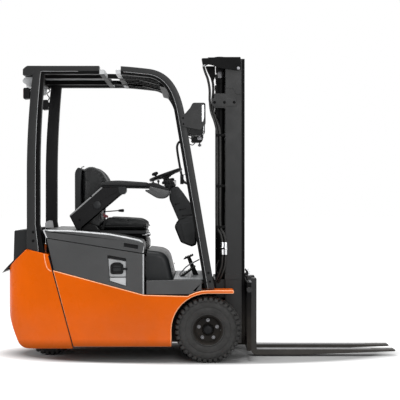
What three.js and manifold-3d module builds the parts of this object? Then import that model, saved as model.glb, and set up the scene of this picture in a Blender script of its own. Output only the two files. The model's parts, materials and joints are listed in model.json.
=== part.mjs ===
// Compact three-wheel electric counterbalance forklift with a two-stage mast.
// Millimetres, +X forward, +Y to the driver's left, +Z up, floor at Z = 0.
// Pieces are laid out from the front axle line (X = 0); the whole truck is then moved
// so that the middle of its box stands over the origin.
import * as THREE from 'three';
import { mergeVertices } from 'three/addons/utils/BufferGeometryUtils.js';
import Module from 'manifold-3d';

const wasm = await Module();
wasm.setup();

// ---------------------------------------------------------------- driving dimensions
const seatGap = 0.3; // clearance between pieces that touch
const moveGap = 6; // clearance between pieces that move past each other
const runGap = 0.8; // clearance of a pin, shaft or roller in its seat

const wheelSides = 28; // flats round a wheel
const wheelbase = 1140;
const frontTyreRadius = 228.5;
const frontTyreWidth = 178;
const frontTrack = 882; // between the tyre centres
const frontRimRadius = 101.6;
const rearTyreRadius = 190;
const rearTyreWidth = 104;
const twinSpacing = 164; // between the twin tyres' centres
const rearRimRadius = 95;
const steerShaftRadius = 40;

const bodyHalfWidth = 525; // outer face of the orange panels
const doorHalfWidth = bodyHalfWidth - 8; // outer face of the hood and battery doors
const panelThickness = 25;
const panelBottom = 112;
const seamFootX = -929; // joint of counterweight and chassis, at the bottom
const seamTopX = -1100; // and at its top
const seamTopZ = 748;
const counterweightRearX = -1400;
const counterweightCorner = 300;
const slopeFootZ = 648; // rear end of the counterweight's sloping top
const counterweightBottom = 100;
const tailRearX = -1458; // rear lip of the tail cover
const tailTopZ = 918;

const baseZ = 112; // underside of the chassis plate
const plateThickness = 30;
const batteryLength = 410;
const batteryWidth = 820;
const batteryTopZ = 725;
const bulkheadX = -893; // rear face of the bulkhead behind the battery
const railHalfWidth = 320; // frame rails between the front wheels
const railThickness = 20;
const floorTopZ = 560;
const floorThickness = 20;
const floorFrontX = -30;

const hoodRearX = -1143;
const hoodFrontX = -441;
const hoodWall = 28;
const hoodSeamRearZ = 864;
const hoodSeamFrontZ = 756;
const doorThickness = 30;
const doorLowRearX = -1070;
const doorLowRearZ = 641;
const doorLowFrontZ = 470;

const guardHalfWidth = 500; // outer face of the overhead guard
const guardTubeWidth = 70;
const guardTopZ = 2052;
const guardRailDepth = 56;
const guardLegDepth = 88;
const guardPillarDepth = 68;
const guardLegRearX = -1253;
const guardBaseZ = 785;
const pillarFootX = 46;
const pillarFootZ = 510;
const pillarBendX = -163;
const pillarBendZ = guardTopZ - 324;
const roofGapRearX = -752; // break in the right roof rail
const roofGapFrontX = -603;

const mastHalfWidth = 330;
const mastRearX = 124;
const mastDepth = 115;
const mastFootZ = 114;
const mastTopZ = 2129;
const mastWall = 12;
const innerMastShift = 24; // inner rails stand this far forward of the outer ones
const innerMastHalfWidth = 270;
const liftCylinderRadius = 32;
const liftRodRadius = 20;
const liftCylinderX = mastRearX - liftCylinderRadius;
const mastLip = 55; // width of a rail's flanges
const liftCylinderY = mastHalfWidth - mastLip - liftCylinderRadius - 5;

const carriageRearX = mastRearX + innerMastShift + mastDepth + 8;
const carriageThickness = 32;
const carriageFrontX = carriageRearX + carriageThickness;
const forkThickness = 40;
const forkFaceX = carriageFrontX + 9 + forkThickness;
const forkWidth = 100;
const forkLength = 1000;
const forkTipThickness = 14;
const forkSpacing = 280; // between the fork centres
const forkBottomZ = 10;
const forkTopZ = 561;
const carriageHalfWidth = 460;

const steeringTilt = THREE.MathUtils.degToRad(20);
const steeringWheelX = -307;
const steeringWheelZ = 1310;
const steeringWheelRadius = 129;
const shaftLength = 62; // from the wheel's centre down to the column's boss

const frontAxleZ = frontTyreRadius * Math.cos(Math.PI / wheelSides);
const rearAxleZ = rearTyreRadius * Math.cos(Math.PI / wheelSides);
const forkTipX = forkFaceX + forkLength;
const centreX = (tailRearX + forkTipX) / 2;

// ---------------------------------------------------------------- finishes
const finish = (color, roughness, metalness) =>
  new THREE.MeshStandardMaterial({ color, roughness, metalness });
const orangePaint = finish(0xe0600a, 0.4, 0.1);
const darkPaint = finish(0x3d3f40, 0.5, 0.2);
const blackPaint = finish(0x161617, 0.6, 0.2);
const darkPlastic = finish(0x2e3032, 0.7, 0);
const blackPlastic = finish(0x121213, 0.7, 0);
const rubber = finish(0x1b1b1b, 0.9, 0);
const steel = finish(0x8d9093, 0.35, 0.9);
const greyPlastic = finish(0xb9bcbe, 0.5, 0);
const upholstery = finish(0x26282a, 0.8, 0);

// ---------------------------------------------------------------- shape helpers
const toSolid = (geometry) => {
  const bare = geometry.clone();
  bare.deleteAttribute('normal');
  bare.deleteAttribute('uv');
  const merged = mergeVertices(bare, 0.001);
  const corners = merged.index.array;
  const triangles = [];
  for (let i = 0; i < corners.length; i += 3) {
    const [a, b, c] = corners.slice(i, i + 3);
    if (a !== b && b !== c && c !== a) triangles.push(a, b, c);
  }
  return new wasm.Manifold(
    new wasm.Mesh({
      numProp: 3,
      vertProperties: new Float32Array(merged.attributes.position.array),
      triVerts: new Uint32Array(triangles),
    }),
  );
};

const toGeometry = (solid) => {
  const mesh = solid.getMesh();
  const geometry = new THREE.BufferGeometry();
  geometry.setAttribute('position', new THREE.BufferAttribute(mesh.vertProperties, 3));
  geometry.setIndex(new THREE.BufferAttribute(mesh.triVerts, 1));
  geometry.computeVertexNormals();
  return geometry;
};

const join = (...solids) => solids.reduce((whole, solid) => whole.add(solid));
const cut = (whole, ...tools) => tools.reduce((rest, tool) => rest.subtract(tool), whole);

const box = (x0, x1, y0, y1, z0, z1) => {
  const geometry = new THREE.BoxGeometry(x1 - x0, y1 - y0, z1 - z0);
  geometry.translate((x0 + x1) / 2, (y0 + y1) / 2, (z0 + z1) / 2);
  return toSolid(geometry);
};

// Cylinder along Y between y0 and y1.
const discY = (x, z, radius, y0, y1, sides = 24) => {
  const geometry = new THREE.CylinderGeometry(radius, radius, y1 - y0, sides);
  geometry.translate(x, (y0 + y1) / 2, z);
  return toSolid(geometry);
};

// Cylinder along Z between z0 and z1.
const postZ = (x, y, radius, z0, z1, sides = 24) => {
  const geometry = new THREE.CylinderGeometry(radius, radius, z1 - z0, sides);
  geometry.rotateX(Math.PI / 2);
  geometry.translate(x, y, (z0 + z1) / 2);
  return toSolid(geometry);
};

// Closed outline from corners [x, y, r]; r rounds the corner, as far as its sides allow.
const outline = (corners) => {
  const shape = new THREE.Shape();
  const count = corners.length;
  corners.forEach(([x, y, r = 0], i) => {
    const corner = new THREE.Vector2(x, y);
    const before = new THREE.Vector2(...corners[(i + count - 1) % count]).sub(corner);
    const after = new THREE.Vector2(...corners[(i + 1) % count]).sub(corner);
    const reach = Math.min(r, 0.49 * before.length(), 0.49 * after.length());
    const start = corner.clone().add(before.setLength(reach));
    const end = corner.clone().add(after.setLength(reach));
    if (i === 0) shape.moveTo(start.x, start.y);
    else shape.lineTo(start.x, start.y);
    if (r > 0) shape.quadraticCurveTo(x, y, end.x, end.y);
  });
  shape.closePath();
  return shape;
};

const toShape = (profile) => (Array.isArray(profile) ? outline(profile) : profile);

// Side profile in X and Z, given thickness along Y.
const sideSolid = (profile, y0, y1, curveSegments = 6) => {
  const options = { depth: y1 - y0, bevelEnabled: false, curveSegments };
  const geometry = new THREE.ExtrudeGeometry(toShape(profile), options);
  geometry.rotateX(Math.PI / 2);
  geometry.translate(0, y1, 0);
  return toSolid(geometry);
};

// Plan profile in X and Y, given height along Z.
const planSolid = (profile, z0, z1, curveSegments = 6) => {
  const options = { depth: z1 - z0, bevelEnabled: false, curveSegments };
  const geometry = new THREE.ExtrudeGeometry(toShape(profile), options);
  geometry.translate(0, 0, z0);
  return toSolid(geometry);
};

// Front profile in Y and Z, given length along X.
const frontSolid = (profile, x0, x1, curveSegments = 6) => {
  const options = { depth: x1 - x0, bevelEnabled: false, curveSegments };
  const geometry = new THREE.ExtrudeGeometry(toShape(profile), options);
  const axes = new THREE.Matrix4().makeBasis(
    new THREE.Vector3(0, 1, 0),
    new THREE.Vector3(0, 0, 1),
    new THREE.Vector3(1, 0, 0),
  );
  geometry.applyMatrix4(axes);
  geometry.translate(x0, 0, 0);
  return toSolid(geometry);
};

// Round tube along a smooth curve through points.
const tube = (points, radius, steps, sides) => {
  const section = new THREE.Shape();
  section.absarc(0, 0, radius, 0, Math.PI * 2);
  const path = new THREE.CatmullRomCurve3(points.map((p) => new THREE.Vector3(...p)));
  const options = { steps, extrudePath: path, bevelEnabled: false, curveSegments: sides };
  return toSolid(new THREE.ExtrudeGeometry(section, options));
};

// Solid of revolution about the Y axis from [radius, y] points, with a flat at the bottom.
const lathe = (points, sides = wheelSides) => {
  const profile = points.map(([r, y]) => new THREE.Vector2(r, y));
  if (profile[0].x > 0) profile.push(profile[0].clone());
  const geometry = new THREE.LatheGeometry(profile, sides);
  geometry.rotateY(Math.PI / sides);
  return toSolid(geometry);
};

const mirrorY = (solid) => solid.mirror([0, 1, 0]);
const both = (solid) => join(solid, mirrorY(solid));
const truck = new THREE.Group();

const addMesh = (name, shape, material, parent = truck) => {
  const geometry = shape.isBufferGeometry ? shape : toGeometry(shape);
  const mesh = new THREE.Mesh(geometry, material);
  mesh.name = name;
  parent.add(mesh);
  return mesh;
};

// A piece made on the right side (-Y) and its mirror image on the left.
const addPair = (name, solid, material) => {
  addMesh(`${name}_right`, solid, material);
  addMesh(`${name}_left`, mirrorY(solid), material);
};

// X on a straight line through two [x, z] points, at height z.
const lineX = ([x0, z0], [x1, z1], z) => x0 + ((x1 - x0) * (z - z0)) / (z1 - z0);
// Z on the same kind of line, at x.
const lineZ = ([x0, z0], [x1, z1], x) => z0 + ((z1 - z0) * (x - x0)) / (x1 - x0);

// ---------------------------------------------------------------- orange bodywork
const seamFoot = [seamFootX, counterweightBottom];
const seamTop = [seamTopX, seamTopZ];
const wellRadius = Math.hypot(rearTyreRadius, (twinSpacing + rearTyreWidth) / 2) + moveGap;
const wellTopZ = 2 * rearAxleZ + 20;
const rearGateHalfWidth = 180; // opening behind the steered wheels
const rearGateTopZ = 312;
const rearGateCorner = 60;
const rearGateFrontX = -wheelbase - 120;
const mountTopZ = 510; // top of the steering mount plate
const mountHalfWidth = 200;
const mountRearX = -wheelbase - 195;
const mountThickness = 30;
const wellFrontX = -800; // the well runs forward past the counterweight
const archGap = 23; // fender to tyre, all round
const fenderSheet = 23;
const fenderTipX = 179;

const archRadius = frontTyreRadius + archGap;
const fenderInnerX = -archRadius;
const fenderInnerZ = frontAxleZ + archRadius;
const fenderTopZ = fenderInnerZ + fenderSheet;

// Quarter circle about the front axle, from behind the wheel up to its top.
const archArc = (radius, steps = 10) =>
  Array.from({ length: steps + 1 }, (_, i) => {
    const angle = Math.PI - (Math.PI / 2) * (i / steps);
    return [radius * Math.cos(angle), frontAxleZ + radius * Math.sin(angle)];
  });

const makeSidePanel = () => {
  const outerX = fenderInnerX - fenderSheet;
  const fender = [
    [outerX, panelBottom],
    ...archArc(archRadius + fenderSheet),
    [fenderTipX, fenderTopZ, 10],
    [fenderTipX, fenderInnerZ, 10],
    ...archArc(archRadius).reverse(),
    [fenderInnerX, panelBottom],
  ];
  const flankFrontX = fenderInnerX - fenderSheet / 2;
  const flank = [
    [lineX(seamFoot, seamTop, panelBottom) + seatGap, panelBottom],
    [flankFrontX, panelBottom],
    ...archArc(archRadius + fenderSheet / 2).filter(([, z]) => z < doorLowFrontZ),
    [hoodFrontX, doorLowFrontZ],
    [doorLowRearX, doorLowRearZ],
    [lineX(seamFoot, seamTop, 690) + seatGap, 690],
  ];
  const innerY = -(bodyHalfWidth - panelThickness);
  const fenderInnerY = -(frontTrack / 2 - frontTyreWidth / 2 - 5);
  return join(
    sideSolid(flank, -bodyHalfWidth, innerY),
    sideSolid(fender, -bodyHalfWidth, fenderInnerY),
  );
};

const makeCounterweight = () => {
  const side = [
    [lineX(seamFoot, seamTop, counterweightBottom), counterweightBottom],
    seamTop,
    [guardLegRearX, guardBaseZ],
    [counterweightRearX, slopeFootZ, 12],
    [counterweightRearX, 330, 110],
    [counterweightRearX + 105, counterweightBottom, 60],
  ];
  const plan = [
    [seamFootX + 1, -bodyHalfWidth],
    [seamFootX + 1, bodyHalfWidth],
    [counterweightRearX, bodyHalfWidth, counterweightCorner],
    [counterweightRearX, -bodyHalfWidth, counterweightCorner],
  ];
  const reach = 1000;
  const gateCorners = [
    [-rearGateHalfWidth, 0],
    [rearGateHalfWidth, 0],
    [rearGateHalfWidth, rearGateTopZ, rearGateCorner],
    [-rearGateHalfWidth, rearGateTopZ, rearGateCorner],
  ];
  const rearGate = frontSolid(gateCorners, -reach * 2, rearGateFrontX);
  return cut(
    sideSolid(side, -reach, reach).intersect(planSolid(plan, 0, reach, 10)),
    postZ(-wheelbase, 0, wellRadius, 0, wellTopZ, 32),
    rearGate,
    box(-wheelbase, wellFrontX, -wellRadius, wellRadius, 0, wellTopZ),
    box(
      mountRearX - 5,
      wellFrontX,
      -mountHalfWidth - 10,
      mountHalfWidth + 10,
      wellTopZ - 1,
      mountTopZ + 12,
    ),
    box(bulkheadX - seatGap, 0, -reach, reach, 0, reach),
  );
};

const makeTailCover = () => {
  const slopeFoot = [counterweightRearX, slopeFootZ];
  const slopeTop = [guardLegRearX, guardBaseZ];
  const rise = seatGap + 1;
  const coverRearX = counterweightRearX + 50;
  const side = [
    [guardLegRearX - seatGap, guardBaseZ + rise],
    [guardLegRearX - seatGap, tailTopZ, 6],
    [coverRearX, tailTopZ - 6, 12],
    [coverRearX - 6, lineZ(slopeFoot, slopeTop, coverRearX - 6) + rise + 14],
    [tailRearX, slopeFootZ - 42],
    [counterweightRearX - 2, slopeFootZ - 15],
    [counterweightRearX, slopeFootZ + rise + 1],
  ];
  const plan = [
    [-1100, -440],
    [-1100, 440],
    [tailRearX, 440, 200],
    [tailRearX, -440, 200],
  ];
  return sideSolid(side, -440, 440).intersect(planSolid(plan, 500, 1000, 10));
};

addPair('side_panel', makeSidePanel(), orangePaint);
addMesh('counterweight', makeCounterweight(), orangePaint);
addMesh('tail_cover', makeTailCover(), darkPlastic);

// ---------------------------------------------------------------- chassis
const tieRearX = liftCylinderX - liftCylinderRadius - 16; // rear face of the outer mast's ties
const tiltEyeX = tieRearX + 31;
const tiltEyeZ = 500;
const tiltBaseX = -330;
const tiltBaseZ = 420;
const tiltCylinderY = 165;
const pinRadius = 12;

const frameWall = 25;
const frameTopZ = 455; // top of the side plates beside the battery
const bulkheadThickness = 23;
const bulkheadTopZ = 715;
const batteryEndGap = 4; // battery to the plates before and behind it
const batteryX0 = bulkheadX + bulkheadThickness + batteryEndGap;
const railFootZ = 120;
const railFrontX = 60;
const crossTubeX = railFrontX - 120;
const crossTubeDepth = 25;
const crossTubeFootZ = 345;
const crossTubeTopZ = 400;

const makeChassis = () => {
  const inner = bodyHalfWidth - panelThickness - seatGap;
  const wall = frameWall;
  const batteryFrontX = batteryX0 + batteryLength + batteryEndGap;
  const frontX = fenderInnerX - fenderSheet - 20;
  const underFloorZ = floorTopZ - floorThickness - seatGap;
  const frame = join(
    box(bulkheadX, frontX, -inner, inner, baseZ, baseZ + plateThickness),
    both(box(bulkheadX, frontX, -inner, -inner + wall, baseZ, frameTopZ)),
    box(bulkheadX, bulkheadX + bulkheadThickness, -inner + wall, inner - wall, baseZ, bulkheadTopZ),
    box(batteryFrontX, batteryFrontX + 22, -inner + wall, inner - wall, baseZ, underFloorZ),
    both(
      box(
        batteryFrontX,
        railFrontX,
        -railHalfWidth,
        -railHalfWidth + railThickness,
        railFootZ,
        underFloorZ,
      ),
    ),
    box(
      crossTubeX,
      crossTubeX + crossTubeDepth,
      -railHalfWidth,
      railHalfWidth,
      crossTubeFootZ,
      crossTubeTopZ,
    ),
    discY(tiltBaseX, tiltBaseZ, pinRadius, -railHalfWidth, railHalfWidth),
    box(
      mountRearX,
      bulkheadX + 1,
      -mountHalfWidth,
      mountHalfWidth,
      mountTopZ - mountThickness,
      mountTopZ,
    ),
  );
  const axleHole = axleBodyRadius + 3;
  return cut(
    frame,
    both(discY(0, frontAxleZ, axleHole, -railHalfWidth - 1, -railHalfWidth + railThickness + 1)),
    postZ(-wheelbase, 0, steerShaftRadius + runGap, mountTopZ - 40, mountTopZ + 10),
  );
};

const axleBodyRadius = 84;
const bearingRadius = 80; // where the mast's feet turn on the axle
const bearingY = 272;
const hubRadius = 52;
const hubFaceY = frontTrack / 2 + 29;
const gearRadius = 95; // drive housing at the middle of the axle
const gearHalfWidth = 235;
const motorRearX = -420;
const motorHalfWidth = 80;
const motorFootZ = 160;
const motorTopZ = 330;

const makeDriveAxle = () => {
  const hubY = frontTrack / 2 - frontTyreWidth / 2;
  const flangeY = railHalfWidth - railThickness - seatGap;
  const half = [
    [70, 50],
    [gearRadius, 60],
    [gearRadius, gearHalfWidth],
    [bearingRadius, gearHalfWidth + 10],
    [bearingRadius, flangeY - 10],
    [axleBodyRadius + 15, flangeY - 10],
    [axleBodyRadius + 15, flangeY],
    [axleBodyRadius, flangeY],
    [axleBodyRadius, hubY - 20],
    [hubRadius, hubY - 20],
    [hubRadius, hubFaceY],
    [0, hubFaceY],
  ];
  const mirrored = half.map(([r, y]) => [r, -y]).reverse();
  const body = lathe([...mirrored, ...half], 24).translate([0, 0, frontAxleZ]);
  return join(body, box(motorRearX, -80, -motorHalfWidth, motorHalfWidth, motorFootZ, motorTopZ));
};

addMesh('chassis_frame', makeChassis(), blackPaint);
addMesh('drive_axle', makeDriveAxle(), blackPaint);
addMesh(
  'battery',
  box(
    batteryX0,
    batteryX0 + batteryLength,
    -batteryWidth / 2,
    batteryWidth / 2,
    baseZ + plateThickness + seatGap,
    batteryTopZ,
  ),
  blackPlastic,
);

const makeFloor = () => {
  const rear = hoodFrontX + 16;
  const half = doorHalfWidth - 2;
  const clearArc = archArc(archRadius + fenderSheet + seatGap + 1);
  const overFender = clearArc.filter(([, z]) => z > doorLowFrontZ + 2);
  const sillProfile = [
    ...overFender.reverse(),
    [rear, doorLowFrontZ + seatGap + 1],
    [rear, floorTopZ + 8],
    [-40, floorTopZ + 14, 20],
    [pillarFootX - 90, pillarFootZ + 40],
    [pillarFootX - 90, fenderTopZ + seatGap + 1],
  ];
  const sill = sideSolid(sillProfile, -half, -half + 30);
  return join(
    box(rear, floorFrontX, -428, 428, floorTopZ - floorThickness, floorTopZ),
    box(rear, pillarFootX - 95, -half + 1, half - 1, floorTopZ - floorThickness, floorTopZ),
    sill,
    mirrorY(sill),
  );
};
addMesh('floor', makeFloor(), darkPlastic);

const shieldBaseZ = floorTopZ + seatGap;
const shieldProfile = [
  [-430, shieldBaseZ],
  [-430, 775],
  [-330, 757, 20],
  [-258, 735, 60],
  [-240, shieldBaseZ],
];
addMesh('leg_shield', sideSolid(shieldProfile, -400, 400), darkPlastic);

// ---------------------------------------------------------------- battery hood and doors
const seamRear = [hoodRearX + 24, hoodSeamRearZ];
const seamFront = [hoodFrontX, hoodSeamFrontZ];

const hoodProfile = () => [
  seamRear,
  [hoodRearX, 920, 14],
  [-958, 917, 20],
  [-686, 894, 40],
  [-572, 873, 30],
  [hoodFrontX, 845, 60],
  seamFront,
];

const hoodTopZ = (x) => {
  const top = hoodProfile().slice(1, 6);
  const i = Math.max(1, top.findIndex(([tx]) => tx > x));
  return lineZ(top[i - 1], top[i], x);
};

const pocketRearX = -800;
const pocketHalfWidth = 215;
const pocketFloorZ = 757;

const hoodHingeX = -1120;
const hoodHingeZ = 905;
const hoodPinRadius = 6;
const hoodPinY = 380;

const makeHoodHinge = () => {
  const rest = (x) => [x, lineZ([guardLegRearX, guardBaseZ], seamTop, x) + seatGap];
  const rearX = hoodHingeX - 12;
  const frontX = hoodHingeX + 12;
  const foot = [rest(rearX), [rearX, 790], [frontX, 790], rest(frontX)];
  const topZ = hoodHingeZ + 12;
  const post = [rest(rearX), [rearX, topZ, 8], [frontX, topZ, 8], rest(frontX)];
  const side = join(
    sideSolid(post, -hoodPinY - 15, -hoodPinY + 15),
    discY(hoodHingeX, hoodHingeZ, hoodPinRadius, -hoodPinY - 36, -hoodPinY + 36, 16),
  );
  return join(sideSolid(foot, -hoodPinY - 15, hoodPinY + 15), side, mirrorY(side));
};

const hoodFlangeZ = 700; // the hood's cavity is open below this height
const tubWall = 15; // round the seat pocket
const tubTopZ = 845;
const notchHalfWidth = 25;

const makeHood = () => {
  const drop = hoodWall;
  const notch = join(
    box(
      hoodRearX - 20,
      hoodHingeX + 30,
      -hoodPinY - notchHalfWidth,
      -hoodPinY + notchHalfWidth,
      hoodFlangeZ,
      1000,
    ),
    discY(hoodHingeX, hoodHingeZ, hoodPinRadius + runGap, -hoodPinY - 37, -hoodPinY + 37, 16),
  );
  const cavity = [
    [hoodRearX + drop + 10, 800],
    [hoodRearX + drop, 920 - drop],
    [-958, 917 - drop],
    [-686, 894 - drop],
    [-572, 873 - drop],
    [hoodFrontX - drop, 845 - drop],
    [hoodFrontX - drop, hoodFlangeZ],
    [-800, hoodFlangeZ],
  ];
  const inner = doorHalfWidth - drop;
  const wall = tubWall;
  const whole = sideSolid(hoodProfile(), -doorHalfWidth, doorHalfWidth);
  const shell = cut(whole, sideSolid(cavity, -inner, inner));
  const below = [
    ...hoodProfile().slice(0, 6),
    [hoodFrontX, hoodFlangeZ],
    [seamRear[0], hoodFlangeZ],
  ];
  const pocketFront = hoodFrontX - 4;
  const tub = box(
    pocketRearX - wall,
    pocketFront,
    -pocketHalfWidth - wall,
    pocketHalfWidth + wall,
    pocketFloorZ - 22,
    tubTopZ,
  );
  const tubRear = sideSolid(
    [
      [pocketRearX - wall, 830],
      [pocketRearX - wall, 900],
      [-600, 870],
      [-600, 830],
    ],
    -pocketHalfWidth - wall,
    pocketHalfWidth + wall,
  );
  return cut(
    join(shell, tub.intersect(sideSolid(below, -doorHalfWidth, doorHalfWidth)), tubRear),
    box(pocketRearX, hoodFrontX + 10, -pocketHalfWidth, pocketHalfWidth, pocketFloorZ, 1000),
    notch,
    mirrorY(notch),
  );
};

const doorFootRear = [doorLowRearX, doorLowRearZ];
const doorFootFront = [hoodFrontX, doorLowFrontZ];

const makeDoor = () => {
  const gap = moveGap;
  const profile = [
    [doorLowRearX + gap, lineZ(doorFootRear, doorFootFront, doorLowRearX + gap) + runGap],
    [seamRear[0] + gap, seamRear[1] - gap],
    [seamFront[0], seamFront[1] - gap],
    [hoodFrontX, doorLowFrontZ + runGap],
  ];
  return sideSolid(profile, -doorHalfWidth, -doorHalfWidth + doorThickness);
};

addMesh('battery_hood', makeHood(), darkPaint);
addMesh('hood_hinge', makeHoodHinge(), blackPaint);
addPair('battery_door', makeDoor(), darkPaint);

// ---------------------------------------------------------------- seat, arm and console
const seatPanZ = 903; // underside of the cushion and foot of the back
const seatBaseHalf = 205;
const cushionHalf = 245;
const backHalf = 235;

const seatProfile = [
  [-790, pocketFloorZ + seatGap],
  [-790, seatPanZ],
  [-428, seatPanZ],
  [-428, 782],
  [-448, 782],
  [-448, pocketFloorZ + seatGap],
];
addMesh('seat_base', sideSolid(seatProfile, -seatBaseHalf, seatBaseHalf), blackPlastic);

const cushionProfile = [
  [-760, seatPanZ + seatGap, 15],
  [-745, 1003, 30],
  [-470, 985, 20],
  [-418, 955, 30],
  [-425, seatPanZ + seatGap, 15],
];
addMesh('seat_cushion', sideSolid(cushionProfile, -cushionHalf, cushionHalf), upholstery);

const backProfile = [
  [-930, hoodTopZ(-930) + seatGap],
  [-955, 960, 20],
  [-955, 1340, 30],
  [-890, 1384, 30],
  [-790, 1310, 40],
  [-763, 1180, 60],
  [-763, seatPanZ + seatGap],
];
addMesh('seat_back', sideSolid(backProfile, -backHalf, backHalf), upholstery);

const armOuterY = -385;
const armInnerY = -290;
const armInset = 10; // the support is this much narrower than the pad, each side
const consoleRearX = -414;
const armBase = [
  [-975, 1012],
  [-735, 1222],
  [-575, 1222],
  [-575, 1180],
  [-620, 1150],
  [-880, 930],
  [-880, hoodTopZ(-880) + seatGap],
  [-925, hoodTopZ(-925) + seatGap],
];
const armPad = [
  [-755, 1215],
  [-745, 1245, 20],
  [-640, 1272, 60],
  [consoleRearX, 1255, 30],
  [consoleRearX, 1201, 20],
  [-560, 1205],
];
const makeArmrest = () =>
  join(
    sideSolid(armBase, armOuterY + armInset, armInnerY - armInset),
    sideSolid(armPad, armOuterY, armInnerY),
    box(-905, -880, armInnerY - armInset - 1, -backHalf - 1, 935, 965),
  );
addMesh('armrest', makeArmrest(), darkPlastic);

const consoleProfile = [
  [consoleRearX + seatGap, 1200],
  [consoleRearX + seatGap, 1246, 20],
  [-364, 1250, 30],
  [-259, 1195, 20],
  [-259, 1168, 10],
  [-294, 1131, 20],
  [-350, 1131, 20],
];
addMesh('control_console', sideSolid(consoleProfile, armOuterY, armInnerY), darkPlastic);

// ---------------------------------------------------------------- steering
const cowlTopZ = 900;
const cowlInset = 46; // cowl face behind the pillar's front line
const columnHalf = 85;
const shroudHalf = 95;
const bossRadius = 24;
const knobX = -75;
const knobY = 88;

const cowlProfile = (setback) => {
  const x = (z) => lineX([pillarFootX, pillarFootZ], [pillarBendX, pillarBendZ], z);
  const rear = guardPillarDepth + setback;
  return [
    [x(floorTopZ) - rear, floorTopZ + seatGap],
    [x(floorTopZ) - cowlInset, floorTopZ + seatGap],
    [x(cowlTopZ) - cowlInset, cowlTopZ],
    [x(cowlTopZ) - rear, cowlTopZ],
  ];
};

const makeColumn = () => {
  const upper = [
    [-226, 1132],
    [-268, 1222, 15],
    [-215, 1228, 10],
    [-180, 1180],
    [-94, 1066, 30],
    [-92, 1004, 20],
    [-205, 955],
  ];
  const lower = [
    [-210, 990],
    [-92, 1030],
    [-72, 880],
    [-70, 790, 20],
    [-110, 775, 10],
    [-190, 840, 40],
    [-240, 930, 30],
  ];
  const ahead = [
    [-60, 0],
    [forkTipX, 0],
    [forkTipX, cowlTopZ + 5],
    [-70, cowlTopZ + 5],
  ];
  const boss = postZ(0, 0, bossRadius, -125, -shaftLength - seatGap, 16)
    .rotate([0, -THREE.MathUtils.radToDeg(steeringTilt), 0])
    .translate([steeringWheelX, 0, steeringWheelZ]);
  return cut(
    join(
      sideSolid(upper, -columnHalf, columnHalf),
      sideSolid(lower, -shroudHalf, shroudHalf),
      boss,
    ),
    sideSolid(cowlProfile(seatGap), -2 * shroudHalf, 2 * shroudHalf),
    sideSolid(ahead, -2 * shroudHalf, 2 * shroudHalf),
  );
};

const makeCowl = () => {
  const half = guardHalfWidth - guardTubeWidth - seatGap;
  return sideSolid(cowlProfile(0), -half, half);
};

const columnTop = new THREE.Group();
columnTop.position.set(steeringWheelX, 0, steeringWheelZ);
columnTop.rotation.y = -steeringTilt;
truck.add(columnTop);

const makeSteeringWheel = () => {
  const rimRadius = 13;
  const ring = new THREE.TorusGeometry(steeringWheelRadius - rimRadius, rimRadius, 8, 28);
  const spokes = [0, 1, 2].map((i) => {
    const reach = steeringWheelRadius - rimRadius;
    return box(0, reach, -13, 13, -16, -6).rotate([0, 0, 90 + 120 * i]);
  });
  return join(
    toSolid(ring),
    postZ(0, 0, 34, -26, 0),
    postZ(0, 0, 14, -shaftLength, -20, 16),
    postZ(knobX, knobY, 8, 0, 24, 12),
    postZ(knobX, knobY, 20, 22, 46, 16),
    ...spokes,
  );
};
addMesh('steering_wheel', makeSteeringWheel(), blackPlastic, columnTop);
addMesh('steering_column', makeColumn(), darkPlastic);
addMesh('front_cowl', makeCowl(), darkPlastic);

const pedalY = -30;
const pedalHalf = 40;
const acceleratorOuterY = -230;
const acceleratorInnerY = -150;

const makeBrakePedal = () => {
  const pad = [
    [-178, 690],
    [-166, 704, 6],
    [-104, 728, 6],
    [-104, 716],
    [-166, 690],
  ];
  const stem = [
    [-152, 704],
    [-128, 714],
    [-66, 575],
    [-66, floorTopZ + seatGap],
    [-100, floorTopZ + seatGap],
  ];
  return join(sideSolid(pad, -pedalHalf, pedalHalf), sideSolid(stem, -8, 8));
};
addMesh('brake_pedal', makeBrakePedal().translate([0, pedalY, 0]), blackPlastic);
const acceleratorProfile = [
  [-220, floorTopZ + seatGap],
  [-90, 655],
  [-86, 645],
  [-190, floorTopZ + seatGap],
];
const accelerator = sideSolid(acceleratorProfile, acceleratorOuterY, acceleratorInnerY);
addMesh('accelerator_pedal', accelerator, blackPlastic);

// ---------------------------------------------------------------- overhead guard
const pillarPoint = (offset, z) => {
  const x = lineX([pillarFootX, pillarFootZ], [pillarBendX, pillarBendZ], z);
  return [x - offset, z];
};

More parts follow.
